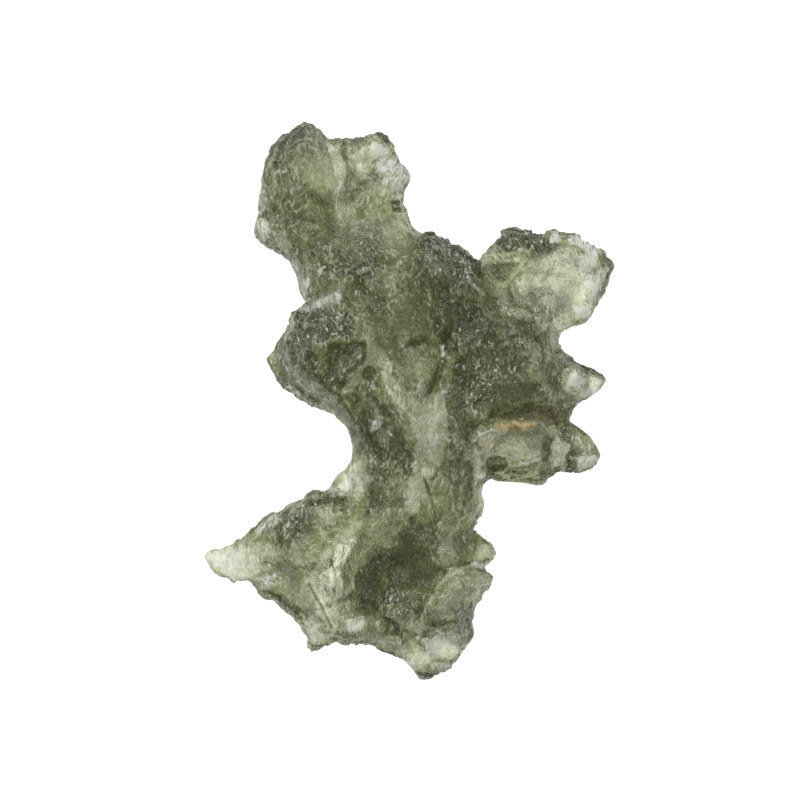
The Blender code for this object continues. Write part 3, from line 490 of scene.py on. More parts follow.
FROST_AREAS = {
    "left tip": (0.3, 0.65, [
        (-12.9, -9.7), (-12.4, -9.4), (-10.9, -9.0), (-10.0, -9.2), (-9.9, -10.3), (-10.4, -11.1),
        (-10.9, -11.7), (-11.2, -11.3), (-11.9, -10.7)
    ]),
    "stripe glow": (0.4, 0.45, [(1.2, 0.2), (2.1, 0.3), (2.1, -2.6), (1.5, -4.4), (1.0, -3.0)]),
    "trunk glow": (0.4, 0.7, [(0.0, 1.6), (0.9, 1.3), (1.1, 0.2), (0.2, 0.3)]),
    "gully flake": (0.1, 0.9, [(0.4, 1.2), (0.9, 0.9), (1.0, 0.3), (0.6, 0.2)]),
    "left rim": (0.15, 0.5, [(-9.4, 11.6), (-9.1, 13.8), (-8.8, 13.4), (-8.9, 11.6)]),
    "left tip root": (0.3, 0.6, [
        (-10.1, -9.3), (-9.4, -9.4), (-9.2, -10.6), (-9.8, -11.0), (-10.1, -10.2)
    ]),
    "head left corner": (0.25, 0.85, [
        (-9.6, 10.7), (-9.1, 11.5), (-8.7, 10.9), (-8.3, 10.1), (-9.2, 9.9)
    ]),
    "head left rim": (0.2, 0.5, [(-8.6, 10.7), (-7.6, 10.6), (-7.2, 9.2), (-8.1, 9.2)]),
    "neck edge": (0.25, 0.75, [(-7.4, 9.0), (-6.8, 8.4), (-6.3, 6.9), (-6.5, 6.3), (-7.1, 8.0)]),
    "arm edge": (0.2, 0.4, [(-7.3, 5.6), (-7.0, 5.0), (-7.2, 4.3), (-7.9, 3.7), (-7.8, 4.2)]),
    "crest edge": (0.2, 0.5, [(-6.3, -5.9), (-4.6, -5.6), (-4.4, -6.0), (-6.0, -6.3)]),
    "crest edge left": (0.2, 0.6, [(-9.6, -7.9), (-8.3, -7.0), (-8.0, -7.4), (-9.4, -8.6)]),
    "left hem": (0.4, 0.7, [(-9.6, -10.8), (-8.4, -10.9), (-8.2, -11.7), (-9.2, -11.9)]),
    "right head": (0.6, 0.8, [
        (-2.9, 15.7), (-1.6, 16.2), (-0.9, 15.9), (-0.5, 14.9), (0.2, 14.0), (-0.4, 13.0),
        (-0.7, 12.7), (-1.5, 12.9), (-1.6, 13.8), (-2.1, 14.8)
    ]),
    "right head corner": (0.25, 0.95, [
        (-1.2, 14.9), (-0.5, 14.9), (0.2, 14.0), (-0.3, 13.4), (-0.9, 14.0)
    ]),
    "neck sliver": (0.08, 0.95, [
        (-6.45, 7.05), (-6.5, 7.5), (-6.15, 7.9), (-6.0, 7.6), (-6.3, 6.9)
    ]),
    "arm crest": (0.35, 0.7, [
        (-7.0, 5.7), (-6.1, 6.3), (-5.2, 6.5), (-4.0, 7.1), (-4.0, 6.4), (-5.0, 5.8), (-6.4, 5.4)
    ]),
    "trunk chip": (0.08, 0.9, [
        (-2.5, -1.9), (-2.2, -1.3), (-1.8, -0.9), (-1.5, -1.0), (-1.7, -1.6), (-2.2, -2.0)
    ]),
    "wing crest": (0.15, 1.0, [
        (9.9, 10.1), (10.6, 10.4), (11.2, 9.9), (12.0, 9.3), (11.6, 9.0), (10.6, 9.5)
    ]),
    "wing spine": (0.1, 1.0, [(8.8, 9.9), (8.9, 10.6), (9.3, 10.6), (9.5, 9.9)]),
    "wing side": (0.4, 0.75, [
        (10.2, 9.5), (11.8, 9.0), (12.0, 7.8), (11.8, 6.6), (11.2, 6.2), (10.6, 8.2)
    ]),
    "wing side low": (0.3, 0.8, [(11.8, 8.4), (12.6, 8.4), (11.9, 6.4), (11.0, 5.4), (10.8, 5.8)]),
    "wing patch": (0.15, 1.0, [(10.3, 5.9), (10.9, 5.9), (11.4, 5.5), (11.3, 5.1), (10.4, 5.2)]),
    "spike": (0.3, 0.8, [(9.9, 1.9), (10.5, 1.9), (10.9, 1.3), (10.6, 0.9), (10.0, 1.0)]),
    "spike fringe": (0.15, 0.8, [(10.8, 0.8), (12.1, 1.1), (11.8, 0.6), (11.2, 0.3), (10.7, 0.1)]),
    "fin rim": (0.15, 0.45, [(6.0, -3.3), (6.7, -3.2), (7.5, -3.5), (7.2, -3.8), (6.4, -3.8)]),
    "fin fan": (0.2, 0.45, [
        (8.9, -2.5), (9.9, -2.4), (10.1, -2.9), (9.7, -3.6), (9.3, -4.0), (8.9, -3.4)
    ]),
    "fin tip": (0.25, 0.8, [(10.5, -3.6), (11.2, -3.4), (12.0, -3.4), (11.6, -4.1), (10.7, -4.3)]),
    "fin side": (0.25, 0.7, [(4.1, -3.4), (4.6, -3.4), (4.7, -4.4), (5.6, -4.9), (4.2, -5.1)]),
    "trough patch": (0.3, 0.85, [
        (-3.8, -13.9), (-3.0, -13.6), (-2.6, -14.0), (-2.7, -14.4), (-3.6, -14.4)
    ]),
    "trough strokes": (0.4, 0.25, [(-5.0, -12.0), (-3.8, -11.8), (-3.4, -13.4), (-4.6, -14.1)]),
    "hem foot": (0.3, 0.6, [(-6.4, -13.8), (-5.8, -13.9), (-5.0, -14.9), (-6.2, -15.0)]),
    "bottom lobe": (0.45, 0.85, [
        (0.7, -14.8), (2.0, -14.3), (3.1, -14.6), (2.9, -15.6), (1.7, -16.1), (0.9, -16.0)
    ]),
    "bottom edge": (0.12, 0.9, [(1.8, -16.3), (2.6, -16.2), (2.7, -16.6), (1.9, -16.8)]),
    "web": (0.2, 0.8, [(-4.7, -5.7), (-4.2, -5.2), (-3.8, -5.5), (-4.1, -6.0)]),
    "web side": (0.5, 0.5, [(-4.5, -5.5), (-3.4, -4.2), (-2.6, -5.0), (-3.2, -5.9), (-4.2, -5.9)]),
}
ROUGH_AREAS = {
    "shoulder": (0.4, 0.9, [
        (0.9, 9.7), (1.4, 10.6), (2.3, 10.2), (3.4, 9.5), (4.4, 8.6), (4.8, 7.4), (2.2, 7.9),
        (1.3, 7.8)
    ]),
    "shoulder foot": (0.4, 0.7, [(2.6, 6.3), (3.6, 6.5), (4.7, 6.1), (4.7, 5.0), (3.4, 4.9)]),
    "flank": (0.5, 0.9, [
        (3.2, 1.8), (4.4, 2.2), (5.0, 3.6), (6.2, 3.9), (9.0, 3.4), (9.2, 1.8), (5.6, 1.6),
        (4.8, 0.2), (5.0, -1.0), (3.4, -0.8)
    ]),
    "trough foot": (0.3, 0.8, [
        (-5.2, -11.6), (-4.2, -11.4), (-3.4, -13.0), (-2.8, -14.2), (-4.6, -14.2)
    ]),
    "bottom lobe": (0.3, 0.9, [
        (0.7, -14.6), (2.0, -14.1), (3.1, -14.6), (2.9, -15.8), (1.6, -16.8), (0.7, -16.2)
    ]),
    "arm top": (0.3, 1.0, [(-7.2, 5.5), (-5.6, 6.0), (-3.2, 5.4), (-3.0, 3.9), (-5.6, 3.4)]),
    "arm corner": (0.3, 0.8, [(-3.5, 1.6), (-2.2, 1.2), (-1.8, 0.2), (-3.2, 0.2)]),
    "trunk foot": (0.4, 0.9, [(-2.4, -2.6), (-0.6, -3.9), (0.2, -5.8), (-1.6, -6.2), (-2.2, -4.6)]),
    "trunk right": (0.3, 0.7, [(0.4, 2.8), (1.4, 2.2), (1.0, 0.4), (0.2, 0.9)]),
    "neck": (0.6, 0.5, [
        (-6.2, 9.6), (-4.2, 11.4), (-2.2, 12.4), (-1.2, 9.0), (-2.2, 6.0), (-5.2, 7.0)
    ]),
    "bowl rim": (0.4, 0.7, [(0.4, -8.4), (2.6, -8.0), (4.4, -9.0), (2.4, -10.4), (1.2, -9.8)]),
    "bowl foot": (0.4, 0.6, [(-1.7, -11.6), (0.2, -11.6), (0.4, -13.6), (-1.4, -14.2)]),
    "skirt facet": (0.3, 1.0, [
        (4.4, -10.6), (5.4, -11.2), (4.4, -13.2), (4.0, -14.8), (2.6, -14.2), (1.6, -12.8),
        (2.8, -11.0)
    ]),
    "skirt left": (0.4, 0.8, [
        (-9.6, -8.4), (-7.6, -7.4), (-6.4, -8.0), (-7.4, -10.0), (-9.4, -10.8)
    ]),
    "skirt crest": (0.4, 0.6, [
        (-8.8, -7.2), (-6.2, -6.2), (-3.2, -6.2), (-3.8, -7.4), (-7.0, -8.6)
    ]),
    "fin": (0.3, 0.6, [(8.9, -1.4), (10.4, -1.6), (12.0, -3.4), (10.6, -4.4), (9.0, -4.4)]),
    "wing knob": (0.2, 0.9, [(5.6, 10.5), (7.8, 10.6), (8.8, 9.6), (7.0, 9.2), (5.8, 9.6)]),
}
SEDIMENT_AREAS = {
    "crease": (0.15, 1.0, [
        (5.2, -1.2), (5.9, -1.3), (6.6, -1.3), (7.9, -1.3), (7.8, -1.5), (7.2, -1.7), (6.7, -1.95),
        (6.2, -1.75), (5.5, -1.7)
    ]),
    "speck": (0.08, 1.0, [(4.5, -2.35), (4.85, -2.35), (4.85, -2.65), (4.5, -2.65)]),
}
# Brown in the crease: painted shade in the deep crease, tinted by sediment
BROWN_AREAS = {
    "crease": (0.3, 0.9, [
        (5.8, -0.8), (7.8, -0.2), (9.5, -0.4), (9.4, -1.4), (7.9, -1.4), (6.6, -1.2)
    ]),
}
AREAS = {
    "pale": PALE_AREAS, "dark": DARK_AREAS, "grey": GREY_AREAS, "frost": FROST_AREAS,
    "rough": ROUGH_AREAS, "sediment": SEDIMENT_AREAS, "brown": BROWN_AREAS,
}
# Narrow marks of the upper face: (half width, strength, line)
PALE_LINES = {
    "below the kite": (0.09, 1.0, [(-4.4, 12.8), (-4.5, 12.1), (-4.2, 11.3)]),
    "scarp": (0.12, 0.9, [
        (4.2, -10.2), (2.9, -10.6), (2.1, -11.2), (1.4, -12.2), (0.9, -13.5), (0.6, -14.9)
    ]),
    "bowl arc": (0.14, 0.9, [(-1.3, -11.1), (-1.75, -12.0), (-1.7, -12.9)]),
    "wing arc": (0.07, 0.7, [(6.2, 7.5), (6.7, 8.0), (7.1, 8.6)]),
}
DARK_LINES = {
    "trunk scar": (0.4, 1.0, [(-3.1, -1.5), (-2.6, -2.9), (-1.6, -3.4)]),
    "trunk scar inner": (0.35, 1.0, [(-2.0, -1.6), (-1.2, -2.3), (-0.5, -3.4)]),
    "bowl crease": (0.3, 1.0, [(0.1, -10.4), (-0.1, -11.7)]),
    "arm rim": (0.4, 1.0, [(-7.2, 3.4), (-6.6, 1.9), (-5.2, 1.1), (-4.2, 1.6), (-3.2, 2.8)]),
    "stripe edge": (0.2, 1.0, [(2.45, 0.4), (2.65, -1.2), (2.7, -2.8)]),
    "fissure": (0.08, 0.8, [(1.0, -4.8), (1.45, -6.2), (1.7, -7.4)]),
    "wing arc": (0.09, 0.9, [(6.25, 7.1), (6.35, 6.7), (6.5, 6.4)]),
    "wing arc inner": (0.07, 0.6, [(7.3, 6.0), (7.7, 5.6), (8.2, 5.5)]),
    "wing arc outer": (0.07, 0.5, [(8.6, 7.6), (9.0, 6.8), (9.6, 6.2)]),
    "trough edge": (0.09, 0.8, [(-4.85, -9.9), (-4.65, -10.6)]),
    "bevel edge": (0.1, 0.7, [(-6.6, 2.4), (-5.6, 1.0), (-4.3, 0.4), (-3.4, -1.2), (-2.8, -2.6)]),
    "scarp foot": (0.12, 0.7, [(2.4, -10.6), (1.7, -11.4), (1.0, -12.6), (0.6, -13.6)]),
    "ridge edge": (0.09, 0.7, [(-6.2, -11.4), (-5.4, -12.9), (-4.8, -14.2)]),
    "fin crest": (0.12, 0.7, [(4.2, -1.5), (5.1, -1.0), (6.4, -0.9)]),
}
FROST_LINES = {
    "shoulder curve": (0.1, 0.8, [(3.6, 7.9), (3.85, 7.3), (4.7, 6.6)]),
    # Head glint and neck glints: painted highlights, drawn as frost
    "head glint": (0.06, 1.0, [(-3.1, 14.65), (-2.7, 14.75)]),
    "neck glints": (0.06, 0.9, [(-5.6, 8.0), (-5.1, 8.4)]),
    "kite edge": (0.08, 0.7, [(-4.9, 16.0), (-4.3, 15.4), (-3.95, 14.8)]),
    "fin crest": (0.08, 0.8, [(3.95, -2.6), (4.5, -2.0), (5.2, -1.75)]),
    "fin left": (0.1, 0.6, [(4.0, -2.8), (4.3, -3.6), (4.1, -4.6)]),
    "fin brow": (0.08, 0.9, [(4.7, -3.5), (5.3, -3.2), (6.1, -3.4), (7.3, -3.9), (8.2, -3.5)]),
    "ledge streak": (0.06, 0.8, [(-1.1, 12.2), (-0.4, 12.1)]),
    "stripe top": (0.12, 0.6, [(2.0, 0.9), (2.3, 0.5)]),
    "trunk flake": (0.1, 0.9, [(-1.35, 0.9), (-1.1, 0.5)]),
    "slit flake": (0.12, 0.8, [(2.1, 3.4), (2.15, 2.8)]),
    "hem streak": (0.07, 0.6, [(-5.4, -14.4), (-4.6, -14.3)]),
    "arm streaks": (0.05, 0.6, [(-8.2, 3.0), (-7.5, 1.9), (-6.9, 1.2)]),
    "bevel rim": (0.14, 0.7, [(-7.4, 0.9), (-6.4, 0.1), (-5.4, -0.4)]),
    "arm ridge": (0.06, 0.6, [(-7.2, 5.2), (-6.9, 4.0), (-6.5, 2.8)]),
    "spike edge": (0.2, 1.0, [(4.1, -10.25), (4.8, -10.25), (5.5, -10.0)]),
}
LINES = {"pale": PALE_LINES, "dark": DARK_LINES, "frost": FROST_LINES}
WOBBLE_CELLS = (0.8, 0.3)    # cell sizes of the wandering of the marks' edges
FINE_WOBBLE = 0.6            # how strong the finer one is
EDGE_WOBBLE = 0.9            # how far an edge wanders, as a share of its softness
LINE_WOBBLE = 0.5            # the same for a narrow mark, as a share of its half width
SEEN_BELOW = {"pale": 0.85, "dark": 0.85}    # share of a mark that also shows on the underside
TURN_SHARPNESS = 2.0         # how quickly the upper face turns into the underside


def points_of(mesh):
    """Vertex places in millimetres, one row each."""
    flat = np.empty(len(mesh.vertices) * 3, np.float32)
    mesh.vertices.foreach_get("co", flat)
    return flat.reshape(-1, 3).astype(float) / MM


def move_points(mesh, points):
    mesh.vertices.foreach_set("co", (points * MM).astype(np.float32).ravel())
    mesh.update()


def normals_of(mesh):
    flat = np.empty(len(mesh.vertices) * 3, np.float32)
    mesh.vertex_normals.foreach_get("vector", flat)
    return flat.reshape(-1, 3).astype(float)


def keep_attribute(mesh, name, values):
    layer = mesh.attributes.new(name, "FLOAT", "POINT")
    layer.data.foreach_set("value", values.astype(np.float32))


def settle_modifiers(obj):
    """Put the evaluated mesh in place of the mesh and its modifiers."""
    graph = bpy.context.evaluated_depsgraph_get()
    mesh = bpy.data.meshes.new_from_object(obj.evaluated_get(graph))
    obj.modifiers.clear()
    obj.data = mesh


def copy_of_solid(node, name):
    """A closed copy of the solid's mesh, as an object of its own."""
    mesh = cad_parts[node].data.copy()
    body = bmesh.new()
    body.from_mesh(mesh)
    bmesh.ops.remove_doubles(body, verts=body.verts, dist=1e-7)
    body.to_mesh(mesh)
    body.free()
    mesh.materials.clear()
    copy = bpy.data.objects.new(name, mesh)
    bpy.context.scene.collection.objects.link(copy)
    return copy


def finely_meshed(obj):
    remesh = obj.modifiers.new("fine", "REMESH")
    remesh.mode = "VOXEL"
    remesh.voxel_size = SKIN_VOXEL * MM
    remesh.adaptivity = 0.0
    soften = obj.modifiers.new("soften", "SMOOTH")
    soften.factor = 0.5
    soften.iterations = SOFTEN_STEPS
    settle_modifiers(obj)


def cup_depth(place, cell):
    """How far a point lies towards the middle of its pit, from 0 on a crest to 1."""
    near = noise.voronoi(place / cell)[0]
    return max(0.0, 1.0 - PIT_SHARPNESS * near[0] ** 2 / max(near[1], LEAST_PIT_GAP) ** 2)


def along_flow(place):
    """The place in coordinates that bend with the glass's flow."""
    bend_cell, bend = FLOW_BEND
    return place + bend * noise.noise_vector(place / bend_cell)


def flow_crease(bent):
    """0 in the bottom of a flow groove, 1 on the ridge beside it."""
    across = noise.noise(Vector(b / w for b, w in zip(bent, FLOW_WIDTHS)))
    return min(1.0, FLOW_SHARPNESS * abs(across))


def etch_depth(place, rim):
    """Depth of the flow grooves and pits at a place; rim is 0 on a face and 1 on the rim."""
    bent = along_flow(place)
    depth = FLOW_DEPTH * (1.0 - flow_crease(bent))
    bent.y /= PIT_STRETCH
    for cell, most in PITS:
        depth += most * cup_depth(bent, cell) * (1.0 + RIM_PITTING * rim)
    return depth


def etch(obj):
    """Pits, flow grooves and ragged rims over the whole skin, and the step at each mark's edge."""
    points = points_of(obj.data)
    normals = normals_of(obj.data)
    noise.seed_set(FLOW_SEED)
    fields = mark_fields(points, normals)
    rough = 1.0 - SMOOTH_GREY * np.maximum(fields["grey"], SMOOTH_PALE * fields["pale"])
    rim = 1.0 - np.abs(normals[:, 2])
    moved = np.array([etch_depth(Vector(row), r) for row, r in zip(points, rim)])
    moved *= -rough
    start, width = MARK_STEP
    for name, height in MARK_HEIGHTS.items():
        moved += height * soft_step((fields[name] - start) / width)
    moved -= moved.mean()
    points += normals * moved[:, None]
    low = np.array(CAD_BOX[0]) / MM
    high = np.array(CAD_BOX[1]) / MM
    move_points(obj.data, np.clip(points, low, high))


def thin_out(obj):
    thin = obj.modifiers.new("thin_out", "DECIMATE")
    thin.ratio = SKIN_TRIANGLES / (2 * len(obj.data.polygons))
    settle_modifiers(obj)
    obj.data.shade_smooth()


def distance_to_line(x, y, line):
    """Distance in plan from each point to a broken line."""
    nearest = np.full(len(x), np.inf)
    for (ax, ay), (bx, by) in zip(line[:-1], line[1:]):
        dx, dy = bx - ax, by - ay
        along = np.clip(((x - ax) * dx + (y - ay) * dy) / (dx * dx + dy * dy), 0.0, 1.0)
        nearest = np.minimum(nearest, np.hypot(x - ax - along * dx, y - ay - along * dy))
    return nearest


def soft_step(value):
    value = np.clip(value, 0.0, 1.0)
    return value * value * (3.0 - 2.0 * value)


def depth_inside(x, y, outline):
    """Distance in plan to an outline, above 0 inside it."""
    closed = outline + outline[:1]
    inside = np.zeros(len(x), bool)
    for (ax, ay), (bx, by) in zip(closed[:-1], closed[1:]):
        crosses = (ay > y) != (by > y)
        if ay != by:
            inside ^= crosses & (x < ax + (y - ay) * (bx - ax) / (by - ay))
    away = distance_to_line(x, y, closed)
    return np.where(inside, away, -away)


def mark_fields(points, normals):
    """How far each point lies inside each kind of mark: 0 outside, 0.5 at the edge, 1 inside."""
    x, y = points[:, 0], points[:, 1]
    broad, fine = WOBBLE_CELLS
    wobble = np.array([
        noise.noise(Vector(row) / broad) + FINE_WOBBLE * noise.noise(Vector(row) / fine)
        for row in points
    ])
    upward = soft_step(0.5 + TURN_SHARPNESS * normals[:, 2])
    fields = {}
    for name, areas in AREAS.items():
        strength = np.zeros(len(points))
        for soft, most, outline in areas.values():
            depth = depth_inside(x, y, outline) + EDGE_WOBBLE * soft * wobble
            strength = np.maximum(strength, most * soft_step(0.5 + 0.5 * depth / soft))
        for half_width, most, line in LINES.get(name, {}).values():
            reach = half_width * (1.0 + LINE_WOBBLE * wobble)
            depth = reach - distance_to_line(x, y, line)
            strength = np.maximum(strength, most * soft_step(0.5 + 0.5 * depth / half_width))
        below = SEEN_BELOW.get(name, 0.0)
        fields[name] = strength * (below + (1.0 - below) * upward)
    return fields


def mark_skin(obj):
    """Write each kind of mark, the thinness and the crests as values on the points."""
    mesh = obj.data
    points = points_of(mesh)
    normals = normals_of(mesh)
    for name, field in mark_fields(points, normals).items():
        keep_attribute(mesh, name, field)
    keep_attribute(mesh, "thin", thinness(obj, points, normals))
    keep_attribute(mesh, "steep", soft_step(1.0 - np.abs(normals[:, 2])))
    fine, broad = crests(mesh, points, normals)
    keep_attribute(mesh, "crest", fine)
    keep_attribute(mesh, "rise", broad)


def thinness(obj, points, normals):
    """1 where the glass is thinnest along the inward normal, falling to 0 where it is thick."""
    body = bmesh.new()
    body.from_mesh(obj.data)
    tree = BVHTree.FromBMesh(body)
    body.free()
    thick = np.full(len(points), SOLID_THICKNESS)
    for i, (row, normal) in enumerate(zip(points, normals)):
        inward = Vector(-normal)
        start = Vector(row * MM) + inward * SKIN_GAP * MM
        hit = tree.ray_cast(start, inward)
        if hit[0] is not None:
            thick[i] = hit[3] / MM
    return np.exp(-thick / THIN_GLASS)


def crests(mesh, points, normals):
    """Fine and broad crests: 0.5 on even skin, towards 1 on a crest and towards 0 in a hollow."""
    ends = np.empty(len(mesh.edges) * 2, np.int32)
    mesh.edges.foreach_get("vertices", ends)
    a, b = ends.reshape(-1, 2).T
    neighbours = np.bincount(a, minlength=len(points)) + np.bincount(b, minlength=len(points))
    smooth = points.copy()
    found = []
    for step in range(1, max(CREST_STEPS) + 1):
        for axis in range(3):
            total = np.bincount(a, smooth[b, axis], len(points))
            total += np.bincount(b, smooth[a, axis], len(points))
            smooth[:, axis] = total / neighbours
        if step in CREST_STEPS:
            height = ((points - smooth) * normals).sum(axis=1)
            found.append(np.clip(0.5 + 0.5 * height / CREST_HEIGHTS[len(found)], 0.0, 1.0))
    return found


class Shading:
    """Short ways to add nodes to one material."""

    def __init__(self, name):
        self.material = bpy.data.materials.new(name)
        self.material.use_nodes = True
        self.nodes = self.material.node_tree.nodes
        self.links = self.material.node_tree.links
        self.shader = self.nodes["Principled BSDF"]
        self.places = self.nodes.new("ShaderNodeTexCoord").outputs["Object"]

    def feed(self, socket, value):
        if isinstance(value, bpy.types.NodeSocket):
            self.links.new(value, socket)
        elif isinstance(value, tuple) and len(value) == 3 and socket.type == "RGBA":
            socket.default_value = (*value, 1.0)
        else:
            socket.default_value = value

    def mark(self, name):
        node = self.nodes.new("ShaderNodeAttribute")
        node.attribute_name = name
        return node.outputs["Fac"]

    def math(self, operation, *values):
        node = self.nodes.new("ShaderNodeMath")
        node.operation = operation
        for socket, value in zip(node.inputs, values):
            self.feed(socket, value)
        return node.outputs[0]

    def product(self, *values):
        total = values[0]
        for value in values[1:]:
            total = self.math("MULTIPLY", total, value)
        return total

    def largest(self, *values):
        most = values[0]
        for value in values[1:]:
            most = self.math("MAXIMUM", most, value)
        return most

    def mix(self, kind, factor, a, b, blend="MIX"):
        node = self.nodes.new("ShaderNodeMix")
        node.data_type = kind
        if kind == "RGBA":
            node.blend_type = blend
        sockets = [s for s in node.inputs if s.enabled]
        for socket, value in zip(sockets, (factor, a, b)):
            self.feed(socket, value)
        return [s for s in node.outputs if s.enabled][0]

    def color_mix(self, factor, a, b):
        return self.mix("RGBA", factor, a, b)

    def value_mix(self, factor, a, b):
        return self.mix("FLOAT", factor, a, b)

    def stretched(self, bend_cell, bend, widths):
        """Places in cell widths along X, Y and Z, bent by a broad noise."""
        broad = self.nodes.new("ShaderNodeTexNoise")
        broad.inputs["Scale"].default_value = 1.0 / (bend_cell * MM)
        broad.inputs["Detail"].default_value = 1.0
        self.links.new(self.places, broad.inputs["Vector"])
        add = self.nodes.new("ShaderNodeVectorMath")
        add.operation = "MULTIPLY_ADD"
        self.links.new(broad.outputs["Color"], add.inputs[0])
        add.inputs[1].default_value = (bend * MM, bend * MM, bend * MM)
        self.links.new(self.places, add.inputs[2])
        scale = self.nodes.new("ShaderNodeVectorMath")
        scale.operation = "MULTIPLY"
        self.links.new(add.outputs[0], scale.inputs[0])
        scale.inputs[1].default_value = tuple(1.0 / (w * MM) for w in widths)
        return scale.outputs[0]

    def noise(self, cell, detail=2.0, low=0.35, high=0.65):
        """Noise with cells of that many millimetres, stretched to 0 to 1."""
        return self.stretched_noise(self.places, 1.0 / (cell * MM), detail, low, high)

    def stretched_noise(self, places, scale=1.0, detail=2.0, low=0.35, high=0.65):
        node = self.nodes.new("ShaderNodeTexNoise")
        node.inputs["Scale"].default_value = scale
        node.inputs["Detail"].default_value = detail
        node.inputs["Roughness"].default_value = 0.6
        self.links.new(places, node.inputs["Vector"])
        return self.spread(node.outputs["Fac"], low, high)

    def arcs(self, cell, spacing):
        """Fine arcs about scattered middles, as on a shell-shaped break, from 0 to 1."""
        node = self.nodes.new("ShaderNodeTexVoronoi")
        node.inputs["Scale"].default_value = 1.0
        self.links.new(self.stretched(*ARC_BEND, (cell, cell, cell)), node.inputs["Vector"])
        turns = self.math("MULTIPLY", node.outputs["Distance"], 2.0 * np.pi * cell / spacing)
        return self.spread(self.math("SINE", turns), -1.0, 1.0)

    def spread(self, value, low, high):
        """Stretch a value so that low becomes 0 and high becomes 1."""
        node = self.nodes.new("ShaderNodeMapRange")
        node.inputs["From Min"].default_value = low
        node.inputs["From Max"].default_value = high
        self.links.new(value, node.inputs["Value"])
        return node.outputs["Result"]

    def broken(self, name, grain):
        """A mark whose edge is broken up by a grain."""
        low, high, reach = MARK_EDGES[name]
        shift = self.math("MULTIPLY_ADD", grain, reach, -0.5 * reach)
        return self.spread(self.math("ADD", self.mark(name), shift), low, high)


def surface_patterns(s):
    """Patterns that cover the whole skin, and its crests, each from 0 to 1."""
    return {
        "streaks": s.stretched_noise(s.stretched(*STREAK_BEND, STREAK_WIDTHS), detail=2.0),
        "strokes": s.stretched_noise(s.stretched(*STROKE_BEND, STROKE_WIDTHS), detail=1.0),
        "fleck": s.noise(*FLECK_NOISE),
        "grain": s.noise(*GRAIN_NOISE),
        "mottle": s.noise(*MOTTLE_NOISE),
        "patches": s.noise(*ROUGH_PATCH_NOISE),
        "arcs": s.arcs(ARC_CELL, ARC_SPACING),
        "crest": s.mark("crest"),
        "rise": s.mark("rise"),
    }


def surface_marks(s, p):
    """The marks with broken edges, and how rough and how smooth the skin is."""
    marks = {name: s.broken(name, p["grain"]) for name in ("pale", "dark", "grey", "brown")}
    stray = s.value_mix(marks["dark"], s.math("MULTIPLY", p["patches"], STRAY_ROUGH), 0.0)
    marks["rough"] = s.largest(s.broken("rough", p["grain"]), stray)
    marks["smooth"] = s.largest(marks["grey"], s.math("MULTIPLY", marks["pale"], SMOOTH_BY_PALE))
    marks["sediment"] = s.broken("sediment", s.noise(*STAIN_NOISE))
    return marks


def white_flecks(s, p, marks):
    """Dots, chips, crests worn white and lit by painted light, and painted glints, all showing white.
    """
    dots = s.product(s.spread(p["fleck"], *DOT_RANGE), s.value_mix(marks["dark"], *DOT_STRENGTH))
    in_rough = s.value_mix(marks["rough"], CHIP_CALM, s.spread(p["grain"], *CHIP_GRAIN))
    chip_flecks = s.spread(p["fleck"], *CHIP_FLECKS)
    chips = s.product(s.spread(p["strokes"], *CHIP_STROKES), chip_flecks, in_rough)
    # White crests: partly wear, partly painted light where crests catch the light
    worn_and_lit_streaks = s.math("MULTIPLY", s.spread(p["streaks"], *WORN_AND_LIT_STREAKS), WORN_AND_LIT_STRENGTH)
    worn_and_lit_crests = s.spread(p["crest"], *WORN_AND_LIT_CRESTS)
    worn_and_lit = s.product(worn_and_lit_crests, s.spread(p["rise"], *WORN_AND_LIT_RISES), worn_and_lit_streaks)
    # Glints: painted highlights, white strokes in the colour
    glint_grain = s.spread(p["grain"], *GLINT_GRAIN)
    glints = s.product(s.spread(p["strokes"], *GLINT_STROKES), glint_grain)
    chipped = s.math("MULTIPLY", s.largest(chips, worn_and_lit), CHIP_STRENGTH)
    return s.product(s.largest(dots, chipped, glints), s.value_mix(marks["smooth"], 1.0, SMOOTH_FLECKS))


def frosting(s, p, marks):
    """Frosted areas with their scratches, white flecks and thin rims; the white flecks hold painted
    glints and painted light on crests.
    """
    frost = s.broken("frost", s.value_mix(FROST_GRAIN, p["strokes"], p["grain"]))
    scratches = s.spread(s.value_mix(FROST_FLECKS, p["strokes"], p["fleck"]), *FROST_SCRATCHES)
    frost = s.product(frost, s.value_mix(scratches, FROST_DARKEST, 1.0))
    rim_streaks = s.value_mix(p["streaks"], *RIM_STREAKS)
    rim = s.product(s.spread(s.mark("thin"), *RIM_THIN), rim_streaks)
    return s.largest(frost, white_flecks(s, p, marks), rim)


def glass_tone(s, p, marks):
    """Brightness of the colour, as a share: the patterns' tone, with painted shade in hollows, painted
    light on crests and painted light on steep sides.
    """
    # The crest and rise tones are painted shade in hollows and painted light on crests
    tone = s.product(*(s.value_mix(p[name], *shares) for name, shares in TONES.items()))
    even = s.math("MULTIPLY", s.largest(marks["pale"], marks["grey"]), EVEN_SHARE)
    tone = s.value_mix(even, tone, EVEN_TONE)
    crack_strength = s.value_mix(marks["rough"], *CRACK_STRENGTH)
    cracks = s.product(s.spread(p["strokes"], *CRACK_STROKES), crack_strength)
    tone = s.product(tone, s.value_mix(cracks, 1.0, CRACK_TONE))
    # Painted light: the colour is brighter on steep sides
    return s.product(tone, s.value_mix(s.mark("steep"), 1.0, STEEP_TONE))


